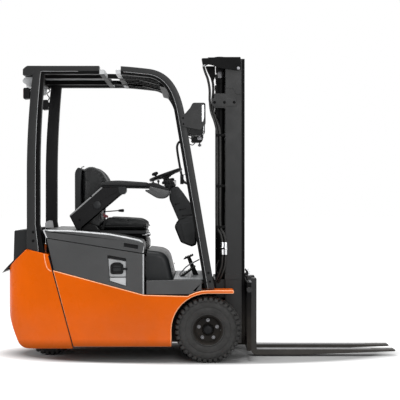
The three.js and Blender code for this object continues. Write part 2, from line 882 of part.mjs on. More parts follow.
const guardShape = () => {
  const shape = new THREE.Shape();
  const legTopX = guardLegRearX + 48;
  const legBendZ = guardTopZ - 752;
  const railFrontX = -400;
  const railFrontZ = guardTopZ - 22;
  const railFootZ = guardTopZ - guardRailDepth;
  const legFrontX = guardLegRearX + guardLegDepth;
  const heelX = legFrontX + 30;
  const heelZ = lineZ([guardLegRearX, guardBaseZ], seamTop, heelX) + seatGap + 0.5;
  shape.moveTo(guardLegRearX, guardBaseZ + seatGap);
  shape.lineTo(guardLegRearX, legBendZ);
  shape.quadraticCurveTo(guardLegRearX, legBendZ + 350, legTopX - 8, guardTopZ - 66);
  shape.lineTo(-1280, guardTopZ - 66);
  shape.lineTo(-1280, guardTopZ - 23);
  shape.lineTo(-1251, guardTopZ);
  shape.lineTo(-650, guardTopZ);
  shape.bezierCurveTo(-560, guardTopZ - 4, -480, guardTopZ - 12, railFrontX, railFrontZ);
  shape.bezierCurveTo(-300, guardTopZ - 39, -205, guardTopZ - 102, ...pillarPoint(0, pillarBendZ));
  shape.lineTo(...pillarPoint(0, pillarFootZ));
  shape.lineTo(...pillarPoint(guardPillarDepth, pillarFootZ));
  shape.lineTo(...pillarPoint(guardPillarDepth, pillarBendZ));
  shape.bezierCurveTo(
    -262,
    guardTopZ - 152,
    -330,
    guardTopZ - 92,
    railFrontX - 6,
    railFrontZ - guardRailDepth,
  );
  shape.bezierCurveTo(-480, guardTopZ - 70, -560, railFootZ - 4, -650, railFootZ);
  shape.lineTo(legTopX + guardLegDepth - 16, railFootZ);
  shape.quadraticCurveTo(legFrontX, legBendZ + 350, legFrontX, legBendZ);
  shape.lineTo(legFrontX, 957);
  shape.lineTo(heelX, seamTopZ + 22);
  shape.lineTo(heelX, heelZ);
  shape.closePath();
  return shape;
};

const guardInnerY = guardHalfWidth - guardTubeWidth;
const guardRight = sideSolid(guardShape(), -guardHalfWidth, -guardInnerY, 10);
const far = 3000; // past every end of the truck
const behindGap = box(-far, roofGapRearX, -far, far, 0, far);
const beforeGap = box(roofGapFrontX, far, -far, far, 0, far);
addMesh('guard_rear_right', guardRight.intersect(behindGap), darkPaint);
addMesh('guard_front_right', guardRight.intersect(beforeGap), darkPaint);
addMesh('guard_left', mirrorY(guardRight), darkPaint);

const beaconX = -1331;
const beaconY = 300;
const beaconTopZ = guardTopZ - 32;
const beaconHeight = 58;
const roofBarTopZ = guardTopZ - 26;
const roofBarDepth = 32;
const ribProfile = (x0, x1) => {
  const sag = (x) => (x > roofGapFrontX ? ((x - roofGapFrontX) / 300) ** 2 * 58 : 0);
  const steps = 5;
  const xs = Array.from({ length: steps + 1 }, (_, i) => x0 + ((x1 - x0) * i) / steps);
  const top = xs.map((x) => [x, roofBarTopZ - sag(x)]);
  const bottom = xs.map((x) => [x, roofBarTopZ - roofBarDepth - sag(x)]).reverse();
  return [...top.reverse(), ...bottom.reverse()];
};

const makeRoofBars = () => {
  const inner = guardInnerY - seatGap;
  const outboard = guardHalfWidth - 8;
  const frontX = -318;
  const barWidth = 36;
  const footZ = roofBarTopZ - roofBarDepth;
  const transom = [
    [frontX - 20, guardTopZ - 134],
    [frontX - 20, guardTopZ - 84],
    [frontX + 26, guardTopZ - 102],
    [frontX + 26, guardTopZ - 147],
  ];
  const longBars = [-215, 215].map((y) => sideSolid(ribProfile(-1240, frontX), y - 20, y + 20));
  const ribs = [-360, -290, -110, 0, 110, 290, 360].map((y) =>
    sideSolid(ribProfile(roofGapFrontX - 20, frontX), y - 7, y + 7),
  );
  return join(
    box(-1277, -1215, -inner, inner, guardTopZ - 66, guardTopZ - 14),
    box(-1368, -1276, beaconY - 22, beaconY + 22, beaconTopZ + seatGap, beaconTopZ + 8),
    box(roofGapRearX + seatGap, roofGapRearX + barWidth, -outboard, inner, footZ, roofBarTopZ),
    box(roofGapFrontX - barWidth, roofGapFrontX - seatGap, -outboard, inner, footZ, roofBarTopZ),
    sideSolid(transom, -inner, inner),
    ...longBars,
    ...ribs,
  );
};
addMesh('roof_bars', makeRoofBars(), darkPaint);
const roofPanelRearX = -1213;
const roofPanelTopZ = roofBarTopZ + 6;
const makeRoofPanel = () => {
  const half = guardInnerY - 1;
  return box(roofPanelRearX, roofGapRearX - 2, -half, half, roofBarTopZ + seatGap, roofPanelTopZ);
};
addMesh('roof_panel', makeRoofPanel(), greyPlastic);

// ---------------------------------------------------------------- lamps, handle
const beaconProfile = [
  [0, 0],
  [40, 4],
  [50, 26],
  [50, 50],
  [0, beaconHeight],
];
const beaconGeometry = new THREE.LatheGeometry(
  beaconProfile.map(([r, y]) => new THREE.Vector2(r, y)),
  20,
);
const beacon = addMesh('beacon', beaconGeometry, greyPlastic);
beacon.rotation.x = Math.PI / 2;
beacon.position.set(beaconX, beaconY, beaconTopZ - beaconHeight);

const lampTopZ = guardTopZ - 150;
const makeRearLamp = () => {
  const outerY = guardHalfWidth - 5;
  const innerY = guardInnerY - 5;
  const stay = [lampTopZ - 57, lampTopZ - 22];
  return join(
    box(-1276, -1234, -outerY, -innerY, lampTopZ - 82, lampTopZ),
    box(-1240, -1190, -guardInnerY + seatGap, -guardInnerY + 6, ...stay),
  );
};
addPair('rear_lamp', makeRearLamp(), blackPlastic);

const makeFrontLamp = () => {
  const x = pillarBendX;
  const z = pillarBendZ;
  const profile = [
    [x + 56, z + 68, 16],
    [x + 146, z + 68, 16],
    [x + 147, z - 80, 10],
    [x + 113, z - 122, 14],
    [x - 18, z - 96, 8],
    [x - 25, z - 28, 8],
    [x + 3, z - 10, 24],
    [x + 43, z + 36, 24],
  ];
  const housing = [
    [x + 41, z - 28],
    [x + 137, z - 28],
    [x + 137, z - 132, 10],
    [x + 117, z - 158, 10],
    [x + 41, z - 160, 10],
  ];
  const plateY = -guardHalfWidth - 12;
  return join(
    sideSolid(profile, plateY, -guardHalfWidth - seatGap),
    sideSolid(housing, plateY + 2, -guardInnerY),
    postZ(x + 105, -guardHalfWidth + 30, 7, z - 190, z - 156, 12),
  );
};
addPair('front_lamp', makeFrontLamp(), blackPlastic);

const makeHandle = () => {
  const radius = 9;
  const y = guardHalfWidth - guardTubeWidth / 2;
  const lean = (z, off) => [pillarPoint(guardPillarDepth + off, z)[0], y, z];
  const path = [
    lean(1575, -10),
    lean(1573, 16),
    lean(1545, 30),
    lean(1440, 30),
    lean(1320, 36),
    lean(1262, 26),
    lean(1248, -10),
  ];
  const pillar = [
    pillarPoint(guardPillarDepth + seatGap, 1100),
    pillarPoint(guardPillarDepth + seatGap, 1700),
    pillarPoint(0, 1700),
    pillarPoint(0, 1100),
  ];
  return cut(tube(path, radius, 18, 4), sideSolid(pillar, 0, guardHalfWidth));
};
addMesh('grab_handle', makeHandle(), blackPlastic);

// ---------------------------------------------------------------- wheels
const tyre = (radius, width, rimRadius) =>
  lathe([
    [rimRadius, -width / 2],
    [radius - 24, -width / 2],
    [radius, -width / 2 + 24],
    [radius, width / 2 - 24],
    [radius - 24, width / 2],
    [rimRadius, width / 2],
  ]);

const makeFrontRim = () => {
  const outer = frontRimRadius - seatGap;
  const faceY = -(hubFaceY - frontTrack / 2) - seatGap;
  return lathe([
    [0, faceY - 34],
    [40, faceY - 34],
    [46, faceY - 12],
    [outer - 10, faceY - 12],
    [outer - 8, -78],
    [outer, -78],
    [outer, 78],
    [outer - 8, 78],
    [outer - 10, faceY],
    [0, faceY],
  ]);
};

[['right', -1, 0], ['left', 1, Math.PI]].forEach(([side, sign, turn]) => {
  const wheel = new THREE.Group();
  wheel.position.set(0, (sign * frontTrack) / 2, frontAxleZ);
  wheel.rotation.z = turn;
  truck.add(wheel);
  const piece = tyre(frontTyreRadius, frontTyreWidth, frontRimRadius);
  addMesh(`front_tyre_${side}`, piece, rubber, wheel);
  addMesh(`front_rim_${side}`, makeFrontRim(), blackPaint, wheel);
});

const knuckleHalf = 24;
const axleRadius = 22;
const rearWheels = new THREE.Group();
rearWheels.position.set(-wheelbase, 0, rearAxleZ);
truck.add(rearWheels);
[['right', -1], ['left', 1]].forEach(([side, sign]) => {
  const piece = tyre(rearTyreRadius, rearTyreWidth, rearRimRadius);
  const mesh = addMesh(`rear_tyre_${side}`, piece, rubber, rearWheels);
  mesh.position.y = (sign * twinSpacing) / 2;
});

const makeRearHub = () => {
  const outer = rearRimRadius - seatGap;
  const half = [
    [axleRadius, knuckleHalf + moveGap],
    [42, knuckleHalf + moveGap],
    [42, 84],
    [outer, 42],
    [outer, 138],
    [outer - 8, 138],
    [outer - 12, 100],
    [42, 100],
    [42, 130],
    [0, 130],
  ];
  const mirrored = half.map(([r, y]) => [r, -y]).reverse();
  return lathe([...mirrored, ...half]);
};
addMesh('rear_hub', makeRearHub(), blackPaint, rearWheels);

const turntableRadius = 120;

const makeKnuckle = () => {
  const x = -wheelbase;
  const plate = [
    [x - 60, rearAxleZ - 60, 40],
    [x + 60, rearAxleZ - 60, 40],
    [x + 90, wellTopZ + 12],
    [x - 90, wellTopZ + 12],
  ];
  return cut(
    join(
      sideSolid(plate, -knuckleHalf, knuckleHalf),
      postZ(x, 0, turntableRadius, wellTopZ + 5, wellTopZ + 40, 32),
      postZ(x, 0, steerShaftRadius, wellTopZ + 20, mountTopZ + 6),
    ),
    discY(x, rearAxleZ, axleRadius + 1, -knuckleHalf - 1, knuckleHalf + 1, 32),
  );
};
addMesh('rear_knuckle', makeKnuckle(), blackPaint);

// ---------------------------------------------------------------- mast
const railPlan = (rearX, outerY, sign) => {
  const frontX = rearX + mastDepth;
  const lipY = outerY - mastLip;
  return [
    [rearX, sign * outerY],
    [frontX, sign * outerY],
    [frontX, sign * lipY],
    [frontX - mastWall, sign * lipY],
    [frontX - mastWall, sign * (outerY - mastWall)],
    [rearX + mastWall, sign * (outerY - mastWall)],
    [rearX + mastWall, sign * lipY],
    [rearX, sign * lipY],
  ];
};

const cylinderFootZ = 372;
const cylinderTopZ = 1990;
const tieThickness = 12;
const upperTieFootZ = 1774;
const upperTieTopZ = 1877;
const lowerTieFootZ = 430;
const lowerTieTopZ = 560;
const tiltEarInner = 14.5; // each ear stands this far from the tilt cylinder's middle
const tiltEarOuter = 26;
const tiltEarFootZ = 475;
const tiltEarTopZ = 525;
const footBracketFootZ = 160;
const footBracketTopZ = 300;
const footTieTopZ = 150;

const makeOuterMast = () => {
  const lipY = mastHalfWidth - mastLip;
  const earRearX = tieRearX + tieThickness - 1;
  const ear = (inner, outer) =>
    box(earRearX, 97, -tiltCylinderY + inner, -tiltCylinderY + outer, tiltEarFootZ, tiltEarTopZ);
  const side = join(
    planSolid(railPlan(mastRearX, mastHalfWidth, -1), mastFootZ, mastTopZ - 9),
    box(
      tieRearX,
      mastRearX + 6,
      -mastHalfWidth,
      -mastHalfWidth + mastWall,
      upperTieFootZ,
      upperTieTopZ,
    ),
    box(tieRearX, mastRearX + mastWall, -lipY - 12, -lipY + 1, lowerTieFootZ, lowerTieTopZ),
    cut(
      join(
        discY(0, frontAxleZ, bearingRadius + 24, -bearingY - 8, -bearingY + 8),
        box(40, mastRearX + 6, -bearingY - 8, -bearingY + 8, footBracketFootZ, footBracketTopZ),
      ),
      discY(0, frontAxleZ, bearingRadius + 1.5, -bearingY - 9, -bearingY + 9),
    ),
    ear(-tiltEarOuter, -tiltEarInner),
    ear(tiltEarInner, tiltEarOuter),
    discY(
      tiltEyeX,
      tiltEyeZ,
      pinRadius,
      -tiltCylinderY - tiltEarOuter,
      -tiltCylinderY + tiltEarOuter,
    ),
  );
  const tieFrontX = tieRearX + tieThickness;
  const lapY = lipY + 20;
  const ties = join(
    box(tieRearX, tieFrontX, -mastHalfWidth, mastHalfWidth, upperTieFootZ, upperTieTopZ),
    box(tieRearX, tieFrontX, -lipY - 12, lipY + 12, lowerTieFootZ, lowerTieTopZ),
    box(tieRearX + 16, mastRearX + 6, -lapY, lapY, cylinderFootZ - 42, cylinderFootZ - seatGap),
    box(mastRearX, mastRearX + 18, -lapY, lapY, mastFootZ, footTieTopZ),
  );
  const window = box(
    tieRearX - 1,
    tieFrontX,
    -tiltCylinderY - 22,
    -tiltCylinderY + 22,
    lowerTieFootZ + 22,
    lowerTieTopZ - 20,
  );
  return cut(join(both(side), ties), both(window));
};
addMesh('outer_mast', makeOuterMast(), darkPaint);

const makeLiftCylinder = () => {
  const barrel = postZ(liftCylinderX, -liftCylinderY, liftCylinderRadius, cylinderFootZ, cylinderTopZ);
  const bore = postZ(liftCylinderX, -liftCylinderY, liftRodRadius + 1.5, cylinderFootZ + 18, cylinderTopZ + 1);
  return cut(barrel, bore);
};
addPair('lift_cylinder', makeLiftCylinder(), blackPaint);

const innerRollerLowZ = 260;
const innerRollerHighZ = 760;
const crossDepth = 12;
const headDepth = 44; // height of the top crosshead

const makeInnerMast = () => {
  const rearX = mastRearX + innerMastShift;
  const rollerX = mastRearX + mastDepth / 2;
  const rollerRadius = mastDepth / 2 - mastWall - runGap;
  const side = join(
    planSolid(railPlan(rearX, innerMastHalfWidth, -1), mastFootZ + 8, mastTopZ),
    discY(rollerX, innerRollerLowZ, rollerRadius, -mastHalfWidth + mastWall + 3, -innerMastHalfWidth + 1),
    discY(rollerX, innerRollerHighZ, rollerRadius, -mastHalfWidth + mastWall + 3, -innerMastHalfWidth + 1),
    postZ(liftCylinderX, -liftCylinderY, liftRodRadius, cylinderFootZ + 30, mastTopZ - 30),
  );
  const cross = innerMastHalfWidth - 5;
  const headRearX = liftCylinderX - liftRodRadius - 8;
  return join(
    both(side),
    box(headRearX, rearX + mastWall, -cross, cross, mastTopZ - headDepth, mastTopZ),
    box(rearX - crossDepth, rearX + mastWall, -cross, cross, 180, 280),
    box(rearX - crossDepth, rearX + mastWall, -cross, cross, 1180, 1260),
  );
};
addMesh('inner_mast', makeInnerMast(), darkPaint);

const guideOuterY = -205;
const guideInnerY = -150;
const guideProfile = [
  [-38, 2088],
  [-30, 2112, 10],
  [60, 2148, 30],
  [150, 2140, 30],
  [232, 2092, 10],
  [232, 2078],
  [166, mastTopZ + seatGap],
  [liftCylinderX - liftRodRadius - 12, mastTopZ + seatGap],
  [-24, 2088],
];
addMesh('hose_guide', sideSolid(guideProfile, guideOuterY, guideInnerY), blackPlastic);

// ---------------------------------------------------------------- carriage and forks
const barTopZ = 552;
const upperBarFootZ = 457;
const lowerBarFootZ = 76;
const lowerBarTopZ = 160;
const carriageRollerLowZ = 160;
const carriageRollerHighZ = 470;
const sidePlateY = 200; // outer face of the roller plates
const sidePlateThickness = 15;
const uprightFootZ = 150;
const uprightTopZ = 470;
const makeCarriage = () => {
  const rollerX = mastRearX + innerMastShift + mastDepth / 2;
  const rollerRadius = mastDepth / 2 - mastWall - runGap;
  const innerWebY = innerMastHalfWidth - mastWall;
  const plate = (y0, y1, z0, z1) => box(carriageRearX, carriageFrontX, y0, y1, z0, z1);
  const side = join(
    box(rollerX - 40, carriageRearX + 1, -sidePlateY, -sidePlateY + sidePlateThickness, 85, 518),
    discY(rollerX, carriageRollerLowZ, rollerRadius, -innerWebY + 6, -sidePlateY + 1),
    discY(rollerX, carriageRollerHighZ, rollerRadius, -innerWebY + 6, -sidePlateY + 1),
  );
  return join(
    both(side),
    plate(-carriageHalfWidth, carriageHalfWidth, lowerBarFootZ, lowerBarTopZ),
    plate(-carriageHalfWidth, carriageHalfWidth, upperBarFootZ, barTopZ),
    both(plate(-carriageHalfWidth, -carriageHalfWidth + 40, uprightFootZ, uprightTopZ)),
    both(plate(-sidePlateY - 15, -sidePlateY + 30, uprightFootZ, uprightTopZ)),
  );
};
addMesh('fork_carriage', makeCarriage(), darkPaint);

const makeFork = () => {
  const shankX = forkFaceX - forkThickness;
  const bladeTopZ = forkBottomZ + forkThickness;
  const half = forkWidth / 2;
  const profile = [
    [shankX, forkTopZ, 6],
    [shankX, forkBottomZ, 45],
    [forkFaceX + 300, forkBottomZ],
    [forkTipX - 6, bladeTopZ - forkTipThickness, 4],
    [forkTipX, bladeTopZ - forkTipThickness / 2],
    [forkTipX - 6, bladeTopZ, 3],
    [forkFaceX, bladeTopZ, 10],
    [forkFaceX, forkTopZ, 6],
  ];
  return join(
    sideSolid(profile, -half, half),
    box(carriageRearX + 9, shankX + 4, -half, half, barTopZ + seatGap, barTopZ + 26),
    box(carriageFrontX + seatGap, shankX + 2, -half, half, 500, barTopZ + 1),
    box(carriageFrontX + seatGap, shankX + 2, -half, half, 90, 150),
  );
};
[['right', -1], ['left', 1]].forEach(([side, sign]) => {
  const fork = addMesh(`fork_${side}`, makeFork(), blackPaint);
  fork.position.y = (sign * forkSpacing) / 2;
});

// ---------------------------------------------------------------- tilt cylinders
const tiltAngle = Math.atan2(tiltEyeZ - tiltBaseZ, tiltEyeX - tiltBaseX);
const tiltLength = Math.hypot(tiltEyeZ - tiltBaseZ, tiltEyeX - tiltBaseX);
const barrelLength = 300;
const tiltRodRadius = 16;
const tiltBarrelRadius = 34;
const tiltEyeRadius = 26;
const eyeHalf = 12;

// Cylinder along X between x0 and x1, in the tilt cylinder's own frame.
const rodX = (x0, x1, radius) => {
  const geometry = new THREE.CylinderGeometry(radius, radius, x1 - x0, 24);
  geometry.rotateZ(Math.PI / 2);
  geometry.translate((x0 + x1) / 2, 0, 0);
  return toSolid(geometry);
};

const makeTiltBarrel = () =>
  cut(
    join(
      rodX(30, barrelLength, tiltBarrelRadius),
      discY(0, 0, tiltEyeRadius, -eyeHalf, eyeHalf),
      box(10, 40, -eyeHalf, eyeHalf, -20, 20),
    ),
    discY(0, 0, pinRadius + runGap, -eyeHalf - 1, eyeHalf + 1),
    rodX(60, barrelLength + 1, tiltRodRadius + 1),
  );

const makeTiltRod = () =>
  cut(
    join(
      rodX(130, tiltLength - 30, tiltRodRadius),
      box(tiltLength - 31, tiltLength - 15, -eyeHalf, eyeHalf, -14, 14),
      discY(tiltLength, 0, tiltEyeRadius - 1, -eyeHalf, eyeHalf),
    ),
    discY(tiltLength, 0, pinRadius + 1.6, -eyeHalf - 1, eyeHalf + 1),
  );

[['right', -1], ['left', 1]].forEach(([side, sign]) => {
  const group = new THREE.Group();
  group.position.set(tiltBaseX, sign * tiltCylinderY, tiltBaseZ);
  group.rotation.y = -tiltAngle;
  truck.add(group);
  addMesh(`tilt_cylinder_${side}`, makeTiltBarrel(), blackPaint, group);
  addMesh(`tilt_rod_${side}`, makeTiltRod(), steel, group);
});

truck.position.x = -centreX;
export default truck;
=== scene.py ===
"""Looks of a compact three-wheel electric forklift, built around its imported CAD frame.

Points are millimetres with X from the front axle line, as in the CAD source, and place() turns
them into the frame's metres.
"""

import json
import math

import bmesh
import bpy
from mathutils import Matrix, Vector


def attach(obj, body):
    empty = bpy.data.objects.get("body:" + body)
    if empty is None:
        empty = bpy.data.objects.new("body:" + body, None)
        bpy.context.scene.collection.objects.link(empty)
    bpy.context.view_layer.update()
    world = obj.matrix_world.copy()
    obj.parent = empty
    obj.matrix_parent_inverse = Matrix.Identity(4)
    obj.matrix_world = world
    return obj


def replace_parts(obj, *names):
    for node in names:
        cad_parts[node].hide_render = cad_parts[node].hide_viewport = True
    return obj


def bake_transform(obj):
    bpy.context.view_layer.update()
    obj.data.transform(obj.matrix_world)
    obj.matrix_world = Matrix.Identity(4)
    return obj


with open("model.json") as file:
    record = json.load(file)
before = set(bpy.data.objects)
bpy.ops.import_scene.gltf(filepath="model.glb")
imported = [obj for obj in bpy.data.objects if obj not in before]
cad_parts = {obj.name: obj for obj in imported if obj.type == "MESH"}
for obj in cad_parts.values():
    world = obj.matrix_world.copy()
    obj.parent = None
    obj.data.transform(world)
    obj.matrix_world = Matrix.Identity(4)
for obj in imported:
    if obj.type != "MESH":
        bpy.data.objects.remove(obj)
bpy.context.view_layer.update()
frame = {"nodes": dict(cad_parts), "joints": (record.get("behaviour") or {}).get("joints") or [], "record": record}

MM = 0.001
JOINTS = {joint["name"]: joint for joint in frame["joints"]}
AXLE_X = JOINTS["front_wheel_right_roll"]["pos_m"][0]
SIDES = (("right", -1), ("left", 1))
BODY_OF = {node: body for body, nodes in frame["record"]["behaviour"]["bodies"].items() for node in nodes}


def place(x, y, z):
    """A point of the frame, in metres, from millimetres measured from the front axle line."""
    return Vector((x * MM + AXLE_X, y * MM, z * MM))


# ---------------------------------------------------------------- camera
CAMERA_DISTANCE = 8.1
CAMERA_HEIGHT = 1.124
CAMERA_X = AXLE_X - 0.055
CAMERA_LENS = 99
CAMERA_SENSOR = 36

camera_data = bpy.data.cameras.new("camera")
camera_data.lens = CAMERA_LENS
camera_data.sensor_width = CAMERA_SENSOR
camera = bpy.data.objects.new("camera", camera_data)
camera.location = (CAMERA_X, -CAMERA_DISTANCE, CAMERA_HEIGHT)
camera.rotation_euler = (math.radians(90), 0, 0)
bpy.context.scene.collection.objects.link(camera)
bpy.context.scene.camera = camera
bpy.context.scene.view_settings.view_transform = "Standard"


# ---------------------------------------------------------------- materials
ROAD_DUST = (0.30, 0.26, 0.22)
DUST_TOP = 0.45
BOTTOM_SHADE_HEIGHTS = (0.112, 0.165)  # painted shade is full below the first and gone above the second, in metres


class Finish:
    """A node material with a Principled shader and the object's own coordinates in metres."""

    def __init__(self, name, color, roughness, metallic=0.0):
        self.material = bpy.data.materials.new(name)
        self.material.use_nodes = True
        self.tree = self.material.node_tree
        self.shader = self.tree.nodes["Principled BSDF"]
        self.color = color
        self.shader.inputs["Base Color"].default_value = (*color, 1)
        self.shader.inputs["Roughness"].default_value = roughness
        self.shader.inputs["Metallic"].default_value = metallic
        self.roughness = roughness
        self.coords = self.node("ShaderNodeTexCoord").outputs["Object"]
        self.height = None

    def node(self, kind, **values):
        """A new node; each value is a property of it or, failing that, one of its inputs."""
        made = self.tree.nodes.new(kind)
        for key, value in values.items():
            if hasattr(made, key):
                setattr(made, key, value)
            else:
                made.inputs[key.replace("_", " ").title()].default_value = value
        return made

    def link(self, start, end):
        self.tree.links.new(start, end)

    def noise(self, scale, detail=4.0, stretch=(1, 1, 1)):
        """Noise with about `scale` waves a metre, stretched along an axis."""
        mapping = self.node("ShaderNodeMapping")
        mapping.inputs["Scale"].default_value = stretch
        self.link(self.coords, mapping.inputs["Vector"])
        noise = self.node("ShaderNodeTexNoise", scale=scale, detail=detail)
        self.link(mapping.outputs[0], noise.inputs["Vector"])
        return noise.outputs[0]

    def ramp(self, value, low, high, start=0.35, end=0.65):
        """Runs from low to high while value runs from start to end."""
        ramp = self.node("ShaderNodeMapRange")
        for key, number in (("From Min", start), ("From Max", end), ("To Min", low), ("To Max", high)):
            ramp.inputs[key].default_value = number
        self.link(value, ramp.inputs["Value"])
        return ramp.outputs[0]

    def tint(self, value, other, low=0.0, high=1.0, start=0.35, end=0.65):
        """Base colour runs towards `other` where value is high."""
        mix = self.node("ShaderNodeMix", data_type="RGBA")
        base = self.shader.inputs["Base Color"]
        if base.links:
            self.link(base.links[0].from_socket, mix.inputs[6])
        else:
            mix.inputs[6].default_value = (*self.color, 1)
        mix.inputs[7].default_value = (*other, 1)
        self.link(self.ramp(value, low, high, start, end), mix.inputs[0])
        self.link(mix.outputs[2], base)
        return self

    def vary_roughness(self, value, spread):
        """Lets the roughness swing by `spread` each way."""
        low, high = self.roughness - spread, self.roughness + spread
        self.link(self.ramp(value, low, high), self.shader.inputs["Roughness"])
        return self

    def bump(self, value, distance, strength=1.0):
        """Raises the surface by `distance` metres where value is high."""
        bump = self.node("ShaderNodeBump")
        bump.inputs["Distance"].default_value = distance
        bump.inputs["Strength"].default_value = strength
        self.link(value, bump.inputs["Height"])
        if self.height:
            self.link(self.height, bump.inputs["Normal"])
        self.height = bump.outputs[0]
        self.link(self.height, self.shader.inputs["Normal"])
        return self

    def near_floor(self, top, other, amount):
        """Road dust: the colour runs towards `other` below `top` metres."""
        split = self.node("ShaderNodeSeparateXYZ")
        self.link(self.coords, split.inputs[0])
        patch = self.node("ShaderNodeMath", operation="MULTIPLY")
        self.link(self.ramp(split.outputs[2], 1, 0, 0.05, top), patch.inputs[0])
        self.link(self.noise(9), patch.inputs[1])
        return self.tint(patch.outputs[0], other, 0, amount, 0, 1)


def painted(name, color, roughness, gloss=0.5, bottom_shade=None):
    """Sprayed paint: orange peel, faint cloudiness, a little dust low down and, if asked, painted shade that
    darkens it at the very bottom.
    """
    made = Finish(name, color, roughness)
    darker = tuple(channel * 0.82 for channel in color)
    made.tint(made.noise(3.0, 6), darker, 0, 0.6)
    made.near_floor(DUST_TOP, ROAD_DUST, 0.18)
    # Painted shade: the colour runs to the given darker colour at the very bottom.
    if bottom_shade:
        height = made.node("ShaderNodeSeparateXYZ")
        made.link(made.coords, height.inputs[0])
        made.tint(made.ramp(height.outputs[2], 1, 0, *BOTTOM_SHADE_HEIGHTS), bottom_shade, 0, 1, 0, 1)
    made.vary_roughness(made.noise(14, 5), 0.05)
    made.bump(made.noise(420, 2), 0.00012, 0.5)
    made.shader.inputs["Specular IOR Level"].default_value = gloss
    return made.material


def moulded(name, color, roughness, grain=900, gloss=0.35):
    """Moulded plastic with a fine stippled skin."""
    made = Finish(name, color, roughness)
    lighter = tuple(channel * 1.35 + 0.002 for channel in color)
    made.tint(made.noise(5, 5), lighter, 0, 0.5)
    made.vary_roughness(made.noise(30, 4), 0.06)
    made.bump(made.noise(grain, 3), 0.00025, 0.6)
    made.shader.inputs["Specular IOR Level"].default_value = gloss
    return made.material


def rubber(name, color, roughness):
    """Scuffed rubber with pale dust in the grain."""
    made = Finish(name, color, roughness)
    made.tint(made.noise(60, 8), (0.030, 0.029, 0.027), 0, 0.5)
    made.tint(made.noise(6, 4), (0.024, 0.023, 0.022), 0, 0.4)
    made.shader.inputs["Specular IOR Level"].default_value = 0.3
    made.vary_roughness(made.noise(22, 5), 0.1)
    made.bump(made.noise(500, 4), 0.0004, 0.7)
    return made.material


def vinyl(name, color):
    """Seat vinyl: pebbled leather grain with fine creases."""
    made = Finish(name, color, 0.5)
    cells = made.node("ShaderNodeTexVoronoi", scale=620, feature="DISTANCE_TO_EDGE")
    made.link(made.coords, cells.inputs["Vector"])
    made.tint(made.noise(12, 5), tuple(channel * 1.5 + 0.003 for channel in color), 0, 0.5)
    made.vary_roughness(made.noise(40, 4), 0.08)
    made.bump(made.ramp(cells.outputs[0], 0, 1, 0, 0.12), 0.0002, 0.6)
    made.bump(made.noise(55, 4), 0.0006, 0.35)
    made.shader.inputs["Specular IOR Level"].default_value = 0.22
    return made.material


def metal(name, color, roughness, stretch=(1, 1, 1)):
    """Bare or plated metal, brushed along the axis where stretch is small."""
    made = Finish(name, color, roughness, 1.0)
    made.vary_roughness(made.noise(90, 5, stretch), 0.09)
    made.tint(made.noise(25, 4), tuple(channel * 0.7 for channel in color), 0, 0.5)
    made.bump(made.noise(700, 3, stretch), 0.00008, 0.5)
    return made.material


def lens(name, color, glow=0.0):
    """Ribbed lamp lens."""
    made = Finish(name, color, 0.18)
    wave = made.node("ShaderNodeTexWave", scale=60, bands_direction="Z")
    made.link(made.coords, wave.inputs["Vector"])
    made.tint(made.noise(40, 3), tuple(min(1, channel * 1.3 + 0.02) for channel in color), 0, 0.5)
    made.bump(wave.outputs["Fac"], 0.0008, 0.6)
    made.shader.inputs["Coat Weight"].default_value = 0.6
    if glow:
        made.shader.inputs["Emission Color"].default_value = (*color, 1)
        made.shader.inputs["Emission Strength"].default_value = glow
    return made.material


# Both orange paints are darkened at the very bottom as painted shade.
ORANGE = painted("orange_paint", (0.75, 0.117, 0.0), 0.3, gloss=0.08, bottom_shade=(0.33, 0.06, 0.002))
# Paler orange for rounded edges: a painted highlight.
ORANGE_HIGHLIGHT = painted("orange_painted_highlight", (1.0, 0.44, 0.22), 0.3, gloss=0.3, bottom_shade=(0.2, 0.04, 0.002))
CHARCOAL = painted("charcoal_paint", (0.0212, 0.0216, 0.022), 0.36, gloss=0.16)
# Pale grey for a strip along the armrest's top edge: a painted highlight.
CHARCOAL_HIGHLIGHT = painted("charcoal_painted_highlight", (0.24, 0.242, 0.245), 0.3, gloss=0.4)
BLACK = painted("black_paint", (0.0035, 0.0035, 0.0037), 0.45, gloss=0.05)
RIM_BLACK = painted("rim_paint", (0.002, 0.002, 0.0022), 0.5, gloss=0.05)
FORK_BLACK = painted("fork_paint", (0.010, 0.010, 0.0105), 0.42, gloss=0.25)
PALE_PAINT = painted("pale_paint", (0.50, 0.51, 0.52), 0.45)
HOOD_GREY = moulded("hood_plastic", (0.044, 0.045, 0.046), 0.36, 1200, 0.3)
HOOD_HIGHLIGHT = moulded("hood_painted_highlight", (0.52, 0.53, 0.54), 0.3, 1200, 0.5)
DARK_PLASTIC = moulded("dark_plastic", (0.0085, 0.0094, 0.0102), 0.4, gloss=0.2)
BLACK_PLASTIC = moulded("black_plastic", (0.0040, 0.0040, 0.0044), 0.4, gloss=0.12)
PALE_PLASTIC = moulded("pale_plastic", (0.44, 0.45, 0.46), 0.35)
TYRE = rubber("tyre_rubber", (0.010, 0.010, 0.010), 0.62)
HOSE = rubber("hose_rubber", (0.008, 0.008, 0.008), 0.5)
VINYL = vinyl("seat_vinyl", (0.0095, 0.010, 0.0105))
ZINC = metal("zinc_plate", (0.72, 0.73, 0.74), 0.3)
CHROME = metal("chrome_rod", (0.80, 0.81, 0.82), 0.12, (1, 1, 0.1))
DARK_STEEL = metal("dark_steel", (0.20, 0.20, 0.21), 0.42)
CLEAR_LENS = lens("clear_lens", (0.86, 0.88, 0.90), 0.25)
RED_LENS = lens("red_lens", (0.10, 0.002, 0.002))
RED_PLASTIC = moulded("red_plastic", (0.14, 0.008, 0.014), 0.4)
MAT = moulded("floor_mat", (0.30, 0.31, 0.32), 0.42, 300)


